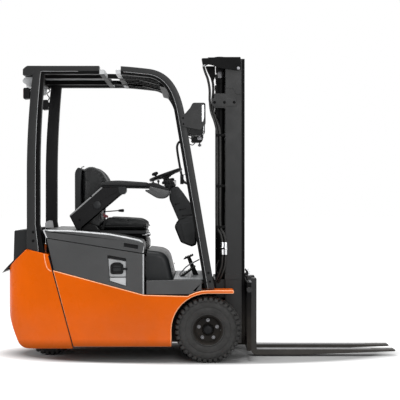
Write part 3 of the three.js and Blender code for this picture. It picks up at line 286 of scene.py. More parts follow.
# ---------------------------------------------------------------- mesh helpers
def as_object(name, bm):
    """An unlinked object from a bmesh in millimetres from the axle line."""
    bmesh.ops.recalc_face_normals(bm, faces=bm.faces)
    for vertex in bm.verts:
        vertex.co = place(*vertex.co)
    mesh = bpy.data.meshes.new(name)
    bm.to_mesh(mesh)
    bm.free()
    return bpy.data.objects.new(name, mesh)


def finish_piece(name, bm, body, material, *rounding, **options):
    """Turns a bmesh, in millimetres from the axle line, into a piece on a body: options as for settle()."""
    return settle(as_object(name, bm), body, material, *rounding, **options)


def stand_in(name, node, bm, body, material, *rounding, **options):
    """A finished piece that is shown in place of a CAD node."""
    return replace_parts(finish_piece(name, bm, body, material, *rounding, **options), node)


def settle(piece, body, material, bevel=0.0, segments=2, sharp=35, extra=(), cuts=(), edge_slot=-1):
    """Links a piece, cuts its recesses, rounds edges by `bevel` mm, shades it and seats it.

    body is a name, or (lower, upper, start, end) for a piece blended between two bodies.
    """
    bpy.context.scene.collection.objects.link(piece)
    for each in (material, *extra):
        piece.data.materials.append(each)
    cutters = [as_object("cutter", cut) for cut in cuts]
    for cutter in cutters:
        bpy.context.scene.collection.objects.link(cutter)
        recess = piece.modifiers.new("recess", "BOOLEAN")
        recess.operation = "DIFFERENCE"
        recess.solver = "EXACT"
        recess.object = cutter
    if cutters:
        apply_modifiers(piece)
        for cutter in cutters:
            bpy.data.objects.remove(cutter)
    if bevel:
        rounding = piece.modifiers.new("rounding", "BEVEL")
        rounding.width = bevel * MM
        rounding.segments = segments
        rounding.limit_method = "ANGLE"
        rounding.angle_limit = math.radians(sharp)
        rounding.use_clamp_overlap = False
        rounding.harden_normals = True
        # The rounded faces can take a pale slot, as a painted highlight.
        rounding.material = edge_slot
    piece.data.shade_smooth()
    piece.data.set_sharp_from_angle(angle=math.radians(sharp))
    apply_modifiers(piece)
    if isinstance(body, tuple):
        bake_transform(piece)
        return piece
    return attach(piece, body)


def apply_modifiers(piece):
    """Makes the modifiers' result the piece's own mesh."""
    if not piece.modifiers:
        return
    graph = bpy.context.evaluated_depsgraph_get()
    mesh = bpy.data.meshes.new_from_object(piece.evaluated_get(graph), depsgraph=graph)
    piece.modifiers.clear()
    piece.data = mesh


def rounded(corners, steps=5):
    """Closed outline from corners [x, z, r], each rounded by an arc-like curve of reach r."""
    points = []
    count = len(corners)
    for i, corner in enumerate(corners):
        here = Vector(corner[:2])
        radius = corner[2] if len(corner) > 2 else 0
        if not radius:
            points.append(tuple(here))
            continue
        before = Vector(corners[i - 1][:2]) - here
        after = Vector(corners[(i + 1) % count][:2]) - here
        reach = min(radius, 0.49 * before.length, 0.49 * after.length)
        start = here + before.normalized() * reach
        end = here + after.normalized() * reach
        for step in range(steps + 1):
            t = step / steps
            points.append(tuple(start * (1 - t) ** 2 + here * 2 * t * (1 - t) + end * t * t))
    return points


def loft(rings, caps=True):
    """Skin through closed rings of points that match one to one."""
    bm = bmesh.new()
    made = [[bm.verts.new(point) for point in ring] for ring in rings]
    count = len(rings[0])
    for low, high in zip(made, made[1:]):
        for i in range(count):
            j = (i + 1) % count
            bm.faces.new((low[i], low[j], high[j], high[i]))
    if caps:
        bm.faces.new(list(reversed(made[0])))
        bm.faces.new(made[-1])
    return bm


def side_shape(profile, y0, y1):
    """Side profile in X and Z, thick from y0 to y1."""
    return loft([[(x, y, z) for x, z in profile] for y in (y0, y1)])


def plan_shape(profile, z0, z1):
    """Outline in X and Y, thick from z0 to z1."""
    return loft([[(x, y, z) for x, y in profile] for z in (z0, z1)])


def front_shape(profile, x0, x1):
    """Outline in Y and Z, thick from x0 to x1."""
    return loft([[(x, y, z) for y, z in profile] for x in (x0, x1)])


def block(x0, x1, y0, y1, z0, z1):
    return side_shape([(x0, z0), (x1, z0), (x1, z1), (x0, z1)], y0, y1)


def circle(radius, count):
    angles = [math.tau * i / count for i in range(count)]
    return [(radius * math.cos(angle), radius * math.sin(angle)) for angle in angles]


def spin(profile, centre, axis, count):
    """Solid of revolution from [radius, along] points about an axis through centre."""
    rings = []
    for radius, along in profile:
        ring = []
        for a, b in circle(max(radius, 0.01), count):
            offset = {"Y": (a, along, b), "Z": (a, b, along), "X": (along, a, b)}[axis]
            ring.append(tuple(centre[k] + offset[k] for k in range(3)))
        rings.append(ring)
    closed = Vector(profile[0]) == Vector(profile[-1])
    bm = loft(rings, caps=not closed)
    if closed:
        bmesh.ops.remove_doubles(bm, verts=bm.verts, dist=0.02)
    return bm


PATH_STEPS = 8


def smooth_path(points):
    """Catmull-Rom curve through points."""
    points = [Vector(p) for p in points]
    padded = [points[0] * 2 - points[1], *points, points[-1] * 2 - points[-2]]
    path = []
    for a, b, c, d in zip(padded, padded[1:], padded[2:], padded[3:]):
        for step in range(PATH_STEPS):
            t = step / PATH_STEPS
            slope, bend, twist = c - a, a * 2 - b * 5 + c * 4 - d, b * 3 - a - c * 3 + d
            path.append(0.5 * (b * 2 + slope * t + bend * t * t + twist * t ** 3))
    path.append(points[-1])
    return path


def tube(path, radius, sides=10):
    """Round tube along a path; radius may be a number or one value a point."""
    path = [Vector(p) for p in path]
    radii = radius if isinstance(radius, (list, tuple)) else [radius] * len(path)
    ahead = (path[1] - path[0]).normalized()
    side = ahead.orthogonal().normalized()
    rings = []
    for i, point in enumerate(path):
        ahead = (path[min(i + 1, len(path) - 1)] - path[max(i - 1, 0)]).normalized()
        side = (side - ahead * side.dot(ahead)).normalized()
        up = ahead.cross(side)
        rings.append([tuple(point + side * a + up * b) for a, b in circle(radii[i], sides)])
    return loft(rings)


def closed_tube(path, radius, sides=8):
    """Round tube along an outline that runs back to its first point."""
    return tube([*path, path[0]], radius, sides)


def merge(*parts):
    """One bmesh from several."""
    whole = bmesh.new()
    for part in parts:
        mesh = bpy.data.meshes.new("part")
        part.to_mesh(mesh)
        part.free()
        whole.from_mesh(mesh)
        bpy.data.meshes.remove(mesh)
    return whole


def moved(bm, matrix):
    bmesh.ops.transform(bm, matrix=matrix, verts=bm.verts)
    return bm


def mirrored(bm):
    """A copy on the other side of the truck."""
    copy = bm.copy()
    for vertex in copy.verts:
        vertex.co.y = -vertex.co.y
    return copy


def cad_copy(node):
    """The CAD node's mesh as a clean bmesh in millimetres from the axle line."""
    bm = bmesh.new()
    bm.from_mesh(frame["nodes"][node].data)
    bmesh.ops.remove_doubles(bm, verts=bm.verts, dist=2e-5)
    for vertex in bm.verts:
        x, y, z = vertex.co
        vertex.co = ((x - AXLE_X) / MM, y / MM, z / MM)
    bmesh.ops.dissolve_limit(bm, angle_limit=math.radians(1), verts=bm.verts, edges=bm.edges)
    return bm


def dress(node, material, *rounding, soften=None, paint=None, shift=None, soften_highlight_slot=0, **options):
    """A finished copy of a CAD node.

    shift changes its mesh, soften is (edge test, reach, steps) for edges rounded more than the rest,
    paint gives a face's material slot, and a slot given for soften's sloping faces paints them as a highlight.
    """
    bm = cad_copy(node)
    if shift:
        shift(bm)
    if soften:
        test, reach, steps = soften
        edges = [e for e in bm.edges if len(e.link_faces) == 2 and e.calc_face_angle(0) > 0.5 and test(e)]
        round_off = bmesh.ops.bevel(
            bm, geom=edges, offset=reach, segments=steps, affect="EDGES", profile=0.5,
        )
    if paint:
        bm.normal_update()
        for face in bm.faces:
            face.material_index = int(paint(face.calc_center_median(), face.normal))
    # Painted highlight: soften faces that lean between side and top take the given pale slot.
    if soften and soften_highlight_slot:
        bm.normal_update()
        for face in round_off["faces"]:
            face.material_index = soften_highlight_slot if 0.35 < abs(face.normal.y) < 0.93 else face.material_index
    return stand_in(f"{node}_shown", node, bm, BODY_OF[node], material, *rounding, **options)


def both_sides(name, bm, body, material, *rounding, **options):
    """A piece on the right and its mirror image on the left. body may hold {side}."""
    other = mirrored(bm)
    finish_piece(f"{name}_right", bm, body.format(side="right"), material, *rounding, **options)
    finish_piece(f"{name}_left", other, body.format(side="left"), material, *rounding, **options)


def slabs(body, rows, put=finish_piece):
    """Flat pieces seen from the side: each row is a name, corners, y0, y1, a material and its rounding."""
    for name, corners, y0, y1, material, *rounding in rows:
        put(name, side_shape(rounded(corners), y0, y1), body, material, *rounding)


def on_axis(bm, axis, centre):
    """Moves a shape built about the origin, with Z along the axis, to centre."""
    turn = Vector((0, 0, 1)).rotation_difference(Vector(axis)).to_matrix().to_4x4()
    return moved(bm, Matrix.Translation(centre) @ turn)


def turned(points, axis, centre, sides=32):
    """spin() about any axis: points are [radius, along], centre is a point on the axis."""
    return on_axis(spin(points, (0, 0, 0), "Z", sides), axis, centre)


def bolt(centre, radius, axis="Y", out=-1, height=5):
    """Hexagon head on a washer, facing out along the axis."""
    washer = spin([
        (radius * 1.5, 0), (radius * 1.5, out * 1.4), (radius * 1.2, out * 1.6),
    ], centre, axis, 16)
    head = spin([
        (radius, out), (radius, out * (height - 1)), (radius * 0.82, out * height),
    ], centre, axis, 6)
    return merge(washer, head)


# ---------------------------------------------------------------- carried over from the CAD
PLAIN = {
    "chassis_frame": (BLACK, 1.5), "drive_axle": (BLACK, 3), "battery": (BLACK_PLASTIC, 4),
    "floor": (HOOD_GREY, 4), "hood_hinge": (BLACK, 1.5),
    "front_cowl": (DARK_PLASTIC, 3), "brake_pedal": (BLACK_PLASTIC, 1.5),
    "accelerator_pedal": (BLACK_PLASTIC, 1.5), "rear_knuckle": (BLACK, 2),
    "outer_mast": (CHARCOAL, 2), "inner_mast": (BLACK, 1.5), "hose_guide": (BLACK_PLASTIC, 3),
    "fork_carriage": (BLACK, 2), "fork_right": (FORK_BLACK, 2), "fork_left": (FORK_BLACK, 2),
    "tilt_cylinder_right": (BLACK, 2), "tilt_cylinder_left": (BLACK, 2),
    "tilt_rod_right": (CHROME, 1), "tilt_rod_left": (CHROME, 1),
    "lift_cylinder_right": (BLACK, 1.5), "lift_cylinder_left": (BLACK, 1.5),
    "roof_panel": (PALE_PLASTIC, 2),
}
for node, (material, bevel) in PLAIN.items():
    dress(node, material, bevel)

# ---------------------------------------------------------------- orange bodywork
BODY_Y = 525
SEAM_FOOT = (-929, 100)
SEAM_TOP = (-1100, 748)
TIP_X, TIP_Z = -1050, 645
TIP_FOOT = (-1070, 640.8)


def blunt_tip(bm):
    """Draws the sharp upper rear tip of a side panel back to the foot of the door."""
    for vertex in bm.verts:
        if vertex.co.z > TIP_Z and vertex.co.x < TIP_X:
            vertex.co.x, vertex.co.z = TIP_FOOT
    bmesh.ops.remove_doubles(bm, verts=bm.verts, dist=0.5)


# The side panels' rounded edges take the paler orange, a painted highlight.
for side in ("right", "left"):
    dress(f"side_panel_{side}", ORANGE, 6, 4, shift=blunt_tip, extra=(ORANGE_HIGHLIGHT,), edge_slot=1)
dress("counterweight", ORANGE, 7, 4, 30)

# A thin tube on the counterweight's corner step, in the paler orange as a painted highlight.
hem = [
    (-1129, -BODY_Y + 1, 752), (-1121, -BODY_Y, 700), (-1108, -BODY_Y, 657), (-1094, -BODY_Y, 642),
    (-1079, -BODY_Y, 634),
]
both_sides("corner_hem", tube(smooth_path(hem), 3.4, 8), "chassis", ORANGE_HIGHLIGHT)


def make_seam():
    """Rubber strip that shows in the joint between counterweight and side panel."""
    foot, top = Vector(SEAM_FOOT), Vector(SEAM_TOP)
    corners = [foot + Vector((-2, 8)), foot + Vector((5, 8)), top + Vector((5, -8)), top + Vector((-2, -8))]
    strip = side_shape([tuple(c) for c in corners], -BODY_Y - 0.6, -BODY_Y + 20)
    both_sides("body_seam_strip", strip, "chassis", BLACK_PLASTIC)


make_seam()

TAIL_X = -1350
CWT_X = -1400
TAIL_VENTS = 6


def make_tail():
    dress("tail_cover", DARK_PLASTIC, 5, 3)
    louvres = []
    for i in range(TAIL_VENTS):
        z = 740 + 24 * i
        louvres.append(
            side_shape([
                (TAIL_X - 1, z + 9), (TAIL_X - 6, z - 7), (TAIL_X - 4, z - 8), (TAIL_X + 2, z + 8),
            ], -215, 215)
        )
    finish_piece("tail_cover_louvres", merge(*louvres), "chassis", BLACK_PLASTIC, 0.6)
    rim = [
        (TAIL_X, y, z)
        for y, z in rounded([(-230, 722, 20), (230, 722, 20), (230, 884, 20), (-230, 884, 20)], 6)
    ]
    finish_piece("tail_cover_vent_rim", closed_tube(rim, 4), "chassis", BLACK_PLASTIC)
    for y in (-290, 290):
        for z in (740, 880):
            screw = bolt((TAIL_X - 1, y, z), 6, "X")
            finish_piece(f"tail_cover_bolt_{y + 290}_{z}", screw, "chassis", DARK_STEEL, 0.4)
    tow = spin([(0, -8), (17, -8), (19, -4), (19, 8), (30, 8), (32, 14)], (CWT_X - 12, 0, 470), "X", 24)
    finish_piece("tow_pin", tow, "chassis", BLACK, 1)
    grip = smooth_path([
        (CWT_X - 14, -22, 474), (CWT_X - 24, -22, 490), (CWT_X - 24, 22, 490), (CWT_X - 14, 22, 474),
    ])
    finish_piece("tow_pin_handle", tube(grip, 4), "chassis", DARK_STEEL)


make_tail()


# ---------------------------------------------------------------- hood and doors
HOOD_Y = 517
HOOD_FRONT_X = -441
HOOD_CROWN_Z = 830


def on_hood_crown(edge):
    """Top outline of the hood's side faces, from the rear to the front corner."""
    a, b = edge.verts
    if any(abs(abs(v.co.y) - HOOD_Y) > 0.5 for v in edge.verts):
        return False
    at_front = all(abs(v.co.x - HOOD_FRONT_X) < 1 for v in edge.verts)
    return min(a.co.z, b.co.z) > HOOD_CROWN_Z or at_front


def on_door_corner(edge):
    """Vertical front corner of a battery door."""
    return all(abs(v.co.x - HOOD_FRONT_X) < 1 and abs(abs(v.co.y) - HOOD_Y) < 1 for v in edge.verts)


def front_black(centre, normal):
    """Slot 1 for the hood's front face between its corners."""
    return normal.x > 0.8 and abs(centre.y) < HOOD_Y - 15


HANDLE = rounded([(-581, 829, 5), (-480, 813, 5), (-484, 785, 5), (-581, 801, 5)])
LATCH = rounded([(-694, 744, 8), (-564, 721, 8), (-563, 526, 10), (-680, 563, 10)])
LATCH_TRAY = [(-690, 741, 6), (-567, 718, 6), (-566, 530, 8), (-677, 566, 8)]
LATCH_PADDLE = [(-656, 656, 3), (-600, 656, 3), (-602, 630, 3), (-654, 630, 3)]
LATCH_COVER = [(-654, 674, 8), (-602, 674, 8), (-600, 660, 2), (-656, 660, 2)]


def make_hood():
    slot_right = side_shape(HANDLE, -HOOD_Y - 5, -HOOD_Y + 13)
    slot_left = mirrored(slot_right)
    # The hood's rounded crown and front corner are painted pale grey as a painted highlight.
    dress(
        "battery_hood", HOOD_GREY, 1.5, soften=(on_hood_crown, 14, 6), paint=front_black,
        extra=(BLACK_PLASTIC, HOOD_HIGHLIGHT), cuts=(slot_right, slot_left), soften_highlight_slot=2,
    )
    floor = side_shape(
        rounded([(-579, 827, 4), (-482, 811, 4), (-486, 787, 4), (-579, 803, 4)]), -HOOD_Y + 11,
        -HOOD_Y + 14,
    )
    both_sides("hood_handle_cup", floor, "hood", BLACK_PLASTIC)
    grip = side_shape([(-579, 828), (-482, 812), (-482, 806), (-579, 822)], -HOOD_Y + 0.5, -HOOD_Y + 9)
    both_sides("hood_handle_grip", grip, "hood", BLACK_PLASTIC, bevel=1.5)
    rim = [
        (x, -HOOD_Y, z)
        for x, z in rounded([(-600, 834, 8), (-473, 814, 8), (-478, 777, 8), (-586, 795, 8)], 4)
    ]
    both_sides("hood_handle_rim", closed_tube(rim, 1.6), "hood", HOOD_GREY)
    flange = [(-1105, 853), (-450, 748), (-450, 760), (-1105, 866)]
    both_sides("hood_lid_flange", side_shape(flange, -HOOD_Y + 31, -HOOD_Y + 26), "hood", BLACK_PLASTIC)


def make_doors():
    for side in ("right", "left"):
        pocket = side_shape(LATCH, -HOOD_Y - 5, -HOOD_Y + 20)
        if side == "left":
            pocket = mirrored(pocket)
        # The doors' rounded front corners are painted pale grey as a painted highlight.
        dress(
            f"battery_door_{side}", HOOD_GREY, 2, 3, soften=(on_door_corner, 13, 5), cuts=(pocket,),
            extra=(HOOD_HIGHLIGHT,), soften_highlight_slot=1,
        )
    body = "door_{side}"
    y = -HOOD_Y
    slabs(
        body,
        (
            ("door_latch_tray", LATCH_TRAY, y + 17, y + 20.5, PALE_PLASTIC, 0.8),
            # Black ledge across the top of the latch recess: its black is painted shade.
            (
                "door_latch_hood", [(-692, 742), (-565, 719), (-565, 700), (-692, 722)], y + 6, y + 17,
                BLACK_PLASTIC, 2,
            ),
            (
                "door_latch_step", [(-681, 594), (-565, 594), (-565, 588), (-681, 588)], y + 11, y + 18,
                BLACK_PLASTIC, 1,
            ),
            (
                "door_latch_ramp", [(-679, 588), (-566, 588), (-566, 531), (-677, 566)], y + 8, y + 18,
                PALE_PLASTIC, 2,
            ),
        ),
        both_sides,
    )
    bezel = rounded([
        (-673, 676, 8), (-650, 694, 10), (-608, 694, 10), (-584, 676, 8), (-584, 620, 8), (-596, 612, 4),
        (-660, 612, 4), (-673, 620, 8),
    ])
    hollow = side_shape(
        rounded([(-658, 676, 12), (-598, 676, 12), (-598, 628, 5), (-658, 628, 5)]), y - 5, y + 12,
    )
    frame_bm = side_shape(bezel, y + 2, y + 17)
    finish_piece(
        "door_latch_bezel_left", mirrored(frame_bm), "door_left", BLACK_PLASTIC, 1.6,
        cuts=(mirrored(hollow),),
    )
    finish_piece("door_latch_bezel_right", frame_bm, "door_right", BLACK_PLASTIC, 1.6, cuts=(hollow,))
    slabs(body, (
        ("door_latch_paddle", LATCH_PADDLE, y + 7, y + 13, DARK_PLASTIC, 1.4),
        ("door_latch_cover", LATCH_COVER, y + 9, y + 13, DARK_PLASTIC, 1.2),
    ), both_sides)
    pin = tube([(-586, y + 8, 649), (-558, y + 8, 649)], 8, 12)
    both_sides("door_latch_pin", pin, body, BLACK_PLASTIC, bevel=1)
    knob = tube([(-566, y + 8, 649), (-556, y + 8, 649)], 12, 12)
    both_sides("door_latch_knob", knob, body, BLACK_PLASTIC, bevel=1.5)
    for x, z in ((-1040, 660), (-760, 584), (-500, 512)):
        hinge = tube([(x - 22, -HOOD_Y + 27, z), (x + 22, -HOOD_Y + 27, z)], 6, 12)
        both_sides(f"door_hinge_{-x}", hinge, body, DARK_STEEL)


def pillow(profile, y0, y1, reach, anchor=None, squash=0.9, steps=7):
    """Side profile from y0 to y1 whose edges are rounded over by `reach` towards both sides.

    Each side is drawn in towards the anchor, which is the profile's middle unless one is given, and
    `squash` times as much in height as in length.
    """
    if anchor is None:
        anchor = [sum(point[k] for point in profile) / len(profile) for k in (0, 1)]
    cx, cz = anchor
    width = max(abs(x - cx) for x, z in profile)
    height = max(abs(z - cz) for x, z in profile)
    near, away = [], []
    for step in range(steps + 1):
        angle = math.pi / 2 * step / steps
        inset = reach * (1 - math.sin(angle))
        depth = reach * (1 - math.cos(angle))
        kx, kz = 1 - inset / width, 1 - squash * inset / max(height, reach)
        ring = [(cx + (x - cx) * kx, cz + (z - cz) * kz) for x, z in profile]
        near.append([(x, y0 + depth, z) for x, z in ring])
        away.insert(0, [(x, y1 - depth, z) for x, z in ring])
    return loft(near + away)


def make_leg_shield():
    profile = rounded([(-430, 561), (-430, 774, 8), (-287, 757, 80), (-241, 561)], 10)
    skin = pillow(profile, -400, 400, 40, (-430, 561), 1, 8)
    stand_in("leg_shield_skin", "leg_shield", skin, "chassis", DARK_PLASTIC, sharp=40)
    for y in (-300, 0, 300):
        finish_piece(
            f"leg_shield_screw_{y + 300}", bolt((-253, y, 640), 6, "X", 1), "chassis", DARK_STEEL, 0.4,
        )


make_hood()
make_doors()
make_leg_shield()

# ---------------------------------------------------------------- overhead guard
GUARD_Y = 500
GUARD_WIDTH = 70
GUARD_TOP_Z = 2052
LEG_X = -1253
LEG_DEPTH, RAIL_DEPTH, PILLAR_DEPTH = 88, 56, 68
PILLAR_FOOT = Vector((46, 510))
PILLAR_BEND = Vector((-163, 1728))
PILLAR_LEAN = 0.1716  # run of the pillar for each unit of height
ROOF_GAP = (-752, -603)
STRIP_SINK = 7  # the dark inner strip lies this far behind the grey one's faces


def bezier(a, b, c, d, steps):
    a, b, c, d = (Vector(p) for p in (a, b, c, d))
    points = []
    for step in range(steps + 1):
        t = step / steps
        u = 1 - t
        points.append(a * u ** 3 + b * 3 * u * u * t + c * 3 * u * t * t + d * t ** 3)
    return points


def quadratic(a, b, c, steps):
    a, b, c = (Vector(p) for p in (a, b, c))
    return bezier(a, a + (b - a) * 2 / 3, c + (b - c) * 2 / 3, c, steps)


def guard_lines():
    """Outer and inner outline of a side frame, with as many points each: leg, roof rail, pillar."""
    leg_bend = GUARD_TOP_Z - 752
    inner_leg = LEG_X + LEG_DEPTH
    rail_low = GUARD_TOP_Z - RAIL_DEPTH
    seam = inner_leg + 30
    outer = [Vector((LEG_X, 787)), Vector((LEG_X, 800)), Vector((LEG_X, 957))]
    inner = [Vector((seam, 752)), Vector((seam, 772)), Vector((inner_leg, 957))]
    outer += quadratic((LEG_X, leg_bend), (LEG_X, leg_bend + 350), (LEG_X + 40, GUARD_TOP_Z - 66), 12)
    inner += quadratic((inner_leg, leg_bend), (inner_leg, leg_bend + 350), (LEG_X + 120, rail_low), 12)
    outer += [Vector((-1200, GUARD_TOP_Z)), Vector((-1120, GUARD_TOP_Z)), Vector((-900, GUARD_TOP_Z))]
    inner += [Vector((LEG_X + 121, rail_low)), Vector((-1120, rail_low)), Vector((-900, rail_low))]
    outer += bezier((
        -650, GUARD_TOP_Z,
    ), (-560, GUARD_TOP_Z - 4), (-480, GUARD_TOP_Z - 12), (-400, GUARD_TOP_Z - 22), 8)
    inner += bezier((-650, rail_low), (-560, rail_low - 4), (-480, rail_low - 14), (-406, rail_low - 22), 8)
    ahead = PILLAR_BEND.x
    outer += bezier((-400, GUARD_TOP_Z - 22), (-300, 2013), (-205, 1950), PILLAR_BEND, 16)[1:]
    bend_inside = (ahead - PILLAR_DEPTH, PILLAR_BEND.y)
    inner += bezier((-406, rail_low - 22), (-330, 1960), (-262, 1900), bend_inside, 16)[1:]
    outer += [PILLAR_BEND.lerp(PILLAR_FOOT, t) for t in (0.5, 1)]
    inner += [PILLAR_BEND.lerp(PILLAR_FOOT, t) - Vector((PILLAR_DEPTH, 0)) for t in (0.5, 1)]
    return outer, inner


def guard_strip(low, high, y0, y1, corner):
    """The band of a side frame between two shares of its depth, with rounded long edges."""
    outer, inner = guard_lines()
    rings = []
    for a, b in zip(outer, inner):
        depth = (b - a).length
        across = (b - a).normalized()
        start, end = low * depth, high * depth
        section = rounded([
            (start, y0, corner), (end, y0, corner), (end, y1, corner), (start, y1, corner),
        ], 3)
        rings.append([((a + across * d).x, y, (a + across * d).y) for d, y in section])
    return loft(rings)


def guard_highlight_bead(share, y):
    """Line of a thin pale bead between the grey tube and the dark inner strip; its pale paint is a painted
    highlight of the tube's edge.
    """
    outer, inner = guard_lines()
    return [Vector(((a + (b - a) * share).x, y, (a + (b - a) * share).y)) for a, b in zip(outer, inner)]


def split_highlight_bead(points, side):
    """The right bead stops at the break in its rail; the left one runs through."""
    if side == "left":
        return [("whole", points)]
    return [
        ("rear", [p for p in points if p.x < ROOF_GAP[0] - 5]),
        ("front", [p for p in points if p.x > ROOF_GAP[1] + 5]),
    ]


def keep_part(bm, x, keep_front):
    """Cuts a roof rail at x and closes the cut; keeps what is ahead of it or behind it."""
    geometry = bm.verts[:] + bm.edges[:] + bm.faces[:]
    cut = bmesh.ops.bisect_plane(
        bm, geom=geometry, plane_co=(x, 0, 0), plane_no=(1, 0, 0), clear_inner=keep_front,
        clear_outer=not keep_front,
    )
    bmesh.ops.holes_fill(
        bm, edges=[e for e in cut["geom_cut"] if isinstance(e, bmesh.types.BMEdge)], sides=0,
    )
    return bm


def make_guard():
    inner_y = GUARD_Y - GUARD_WIDTH
    grey = (0, 0.66, -GUARD_Y, -inner_y - 4, 5)
    dark = (0.6, 1, -GUARD_Y + STRIP_SINK, -inner_y, 4)
    tail = rounded([
        (-1280, 1987, 4), (-1280, 2029, 8), (-1251, GUARD_TOP_Z, 8), (-1150, GUARD_TOP_Z), (-1150, 2016),
        (-1236, 1987),
    ])
    for part, front, x in (("rear", False, ROOF_GAP[0]), ("front", True, ROOF_GAP[1])):
        strips = [keep_part(guard_strip(*band), x, front) for band in (grey, dark)]
        node = f"guard_{part}_right"
        if not front:
            strips[0] = merge(strips[0], side_shape(tail, -GUARD_Y + 1, -inner_y - 6))
        stand_in(f"{node}_tube", node, strips[0], "chassis", CHARCOAL, 1.2, 2, 50)
        finish_piece(f"{node}_inner_strip", strips[1], "chassis", BLACK, 1.0, 2, 50)
    # Pale bead along each guard: a painted highlight of the grey tube's edge.
    painted_bead = guard_highlight_bead(0.655, -GUARD_Y + STRIP_SINK)
    for side, sign in (("right", 1), ("left", -1)):
        flipped = [Vector((p.x, sign * p.y, p.z)) for p in painted_bead]
        for part, points in split_highlight_bead(flipped, side):
            finish_piece(f"guard_highlight_bead_{side}_{part}", tube(points, 2.6, 8), "chassis", PALE_PAINT)
    tube_left = merge(guard_strip(*grey), side_shape(tail, -GUARD_Y + 1, -inner_y - 6))
    stand_in("guard_left_tube", "guard_left", mirrored(tube_left), "chassis", CHARCOAL, 1.2, 2, 50)
    tube_left.free()
    strip = guard_strip(*dark)
    finish_piece("guard_left_inner_strip", mirrored(strip), "chassis", BLACK, 1.0, 2, 50)
    strip.free()
    cover = guard_strip(0.03, 0.97, -inner_y - 4.5, -inner_y + 0.5, 2)
    finish_piece("guard_left_trim", mirrored(cover), "chassis", BLACK_PLASTIC, 0)
    for x, front in ((ROOF_GAP[0], False), (ROOF_GAP[1], True)):
        part = keep_part(cover.copy(), x, front)
        finish_piece(f"guard_right_trim_{'front' if front else 'rear'}", part, "chassis", BLACK_PLASTIC, 0)
    cover.free()
    foot = rounded([(-1256, 908, 4), (-1256, 948, 8), (-1228, 966, 10), (-1196, 964, 10), (-1188, 908, 4)])
    both_sides(
        "guard_foot_plate", side_shape(foot, -inner_y - 1, -inner_y + 5), "chassis", PALE_PAINT, bevel=2,
        segments=2,
    )
    for x, z in ((-1208, 842), (-1208, 902)):
        both_sides(f"guard_foot_bolt_{z}", bolt((x, -GUARD_Y, z), 6.5), "chassis", BLACK, bevel=0.4)
    for z in (560, 620):
        x = PILLAR_FOOT.x - 24 - (z - PILLAR_FOOT.y) * PILLAR_LEAN
        both_sides(f"pillar_foot_bolt_{z}", bolt((x, -GUARD_Y, z), 5.5), "chassis", BLACK, bevel=0.4)


make_guard()

CROSS_BARS = ((-752, -716), (-639, -603))


def roof_paint(centre, _normal):
    """Slot 1 for the two cross bars at the broken rail, which are pale; the other bars are black."""
    return any(low - 1 <= centre.x <= high + 1 for low, high in CROSS_BARS) and abs(centre.y) > 0.1


dress("roof_bars", BLACK, 2, paint=roof_paint, extra=(PALE_PAINT,))


def make_roof_details():
    for i, x in enumerate((-1160, -1060, -960, -860)):
        both_sides(f"roof_panel_screw_{i}", bolt((x, -395, 2032), 5, "Z", 1, 4), "chassis", ZINC, bevel=0.3)
    for low, high in CROSS_BARS:
        x = (low + high) / 2
        both_sides(
            f"cross_bar_bolt_{int(-x)}", bolt((x, -380, 2026), 6, "Z", 1), "chassis", ZINC, bevel=0.3,
        )
    edge = rounded([(-1213, 2024, 2), (-1213, 2035, 2), (-750, 2035, 2), (-750, 2024, 2)])
    both_sides("roof_panel_seal", side_shape(edge, -430, -421), "chassis", BLACK_PLASTIC)


make_roof_details()


# ---------------------------------------------------------------- lamps and beacon
def make_beacon():
    x, y, base = -1331, 300, 1962
    dome = [(0, 0), (18, 1), (32, 5), (43, 13), (49, 25), (50, 36), (47, 44), (40, 48)]
    shell = spin([*dome, (0, 48)], (x, y, base), "Z", 40)
    stand_in("beacon_dome", "beacon", shell, "chassis", PALE_PLASTIC)
    seat = [(0, 46), (49, 46), (50, 49), (47, 56), (30, 58), (0, 58)]
    finish_piece("beacon_seat", spin(seat, (x, y, base), "Z", 40), "chassis", BLACK_PLASTIC)
    ribs = [
        spin([(49.6, z), (50.3, z + 0.8), (49.6, z + 1.6)], (x, y, base), "Z", 40)
        for z in (26, 31, 36)
    ]
    finish_piece("beacon_dome_ribs", merge(*ribs), "chassis", PALE_PLASTIC)


def make_rear_lamps():
    body = rounded([
        (-1276, 1822, 8), (-1276, 1900, 8), (-1240, 1902, 6), (-1234, 1880, 6), (-1234, 1826, 6),
    ])
    housing = side_shape(body, -495, -425)
    clamp = rounded([(-1240, 1880, 4), (-1192, 1880, 6), (-1192, 1846, 6), (-1240, 1846, 4)])
    other = side_shape(clamp, -429, -424)
    parts = merge(housing, other)
    flipped = mirrored(parts)
    stand_in("rear_lamp_right_housing", "rear_lamp_right", parts, "chassis", BLACK_PLASTIC, 2)
    stand_in("rear_lamp_left_housing", "rear_lamp_left", flipped, "chassis", BLACK_PLASTIC, 2)
    fins = merge(*[block(-1270, -1240, -497, -494, 1828 + 11 * i, 1833 + 11 * i) for i in range(6)])
    both_sides("rear_lamp_fins", fins, "chassis", BLACK_PLASTIC, bevel=0.8)
    face = front_shape(
        rounded([(-490, 1830, 8), (-430, 1830, 8), (-430, 1894, 8), (-490, 1894, 8)]), -1279, -1274,
    )
    both_sides("rear_lamp_lens", face, "chassis", RED_LENS, bevel=1.2)
    wire = smooth_path([
        (-1240, 440, 1890), (-1222, 415, 1915), (-1238, 405, 1945), (-1216, 412, 1968), (-1235, 420, 1992),
    ])
    lead = tube(wire, 4)
    both_sides("rear_lamp_conduit", mirrored(lead), "chassis", HOSE)
    lead.free()


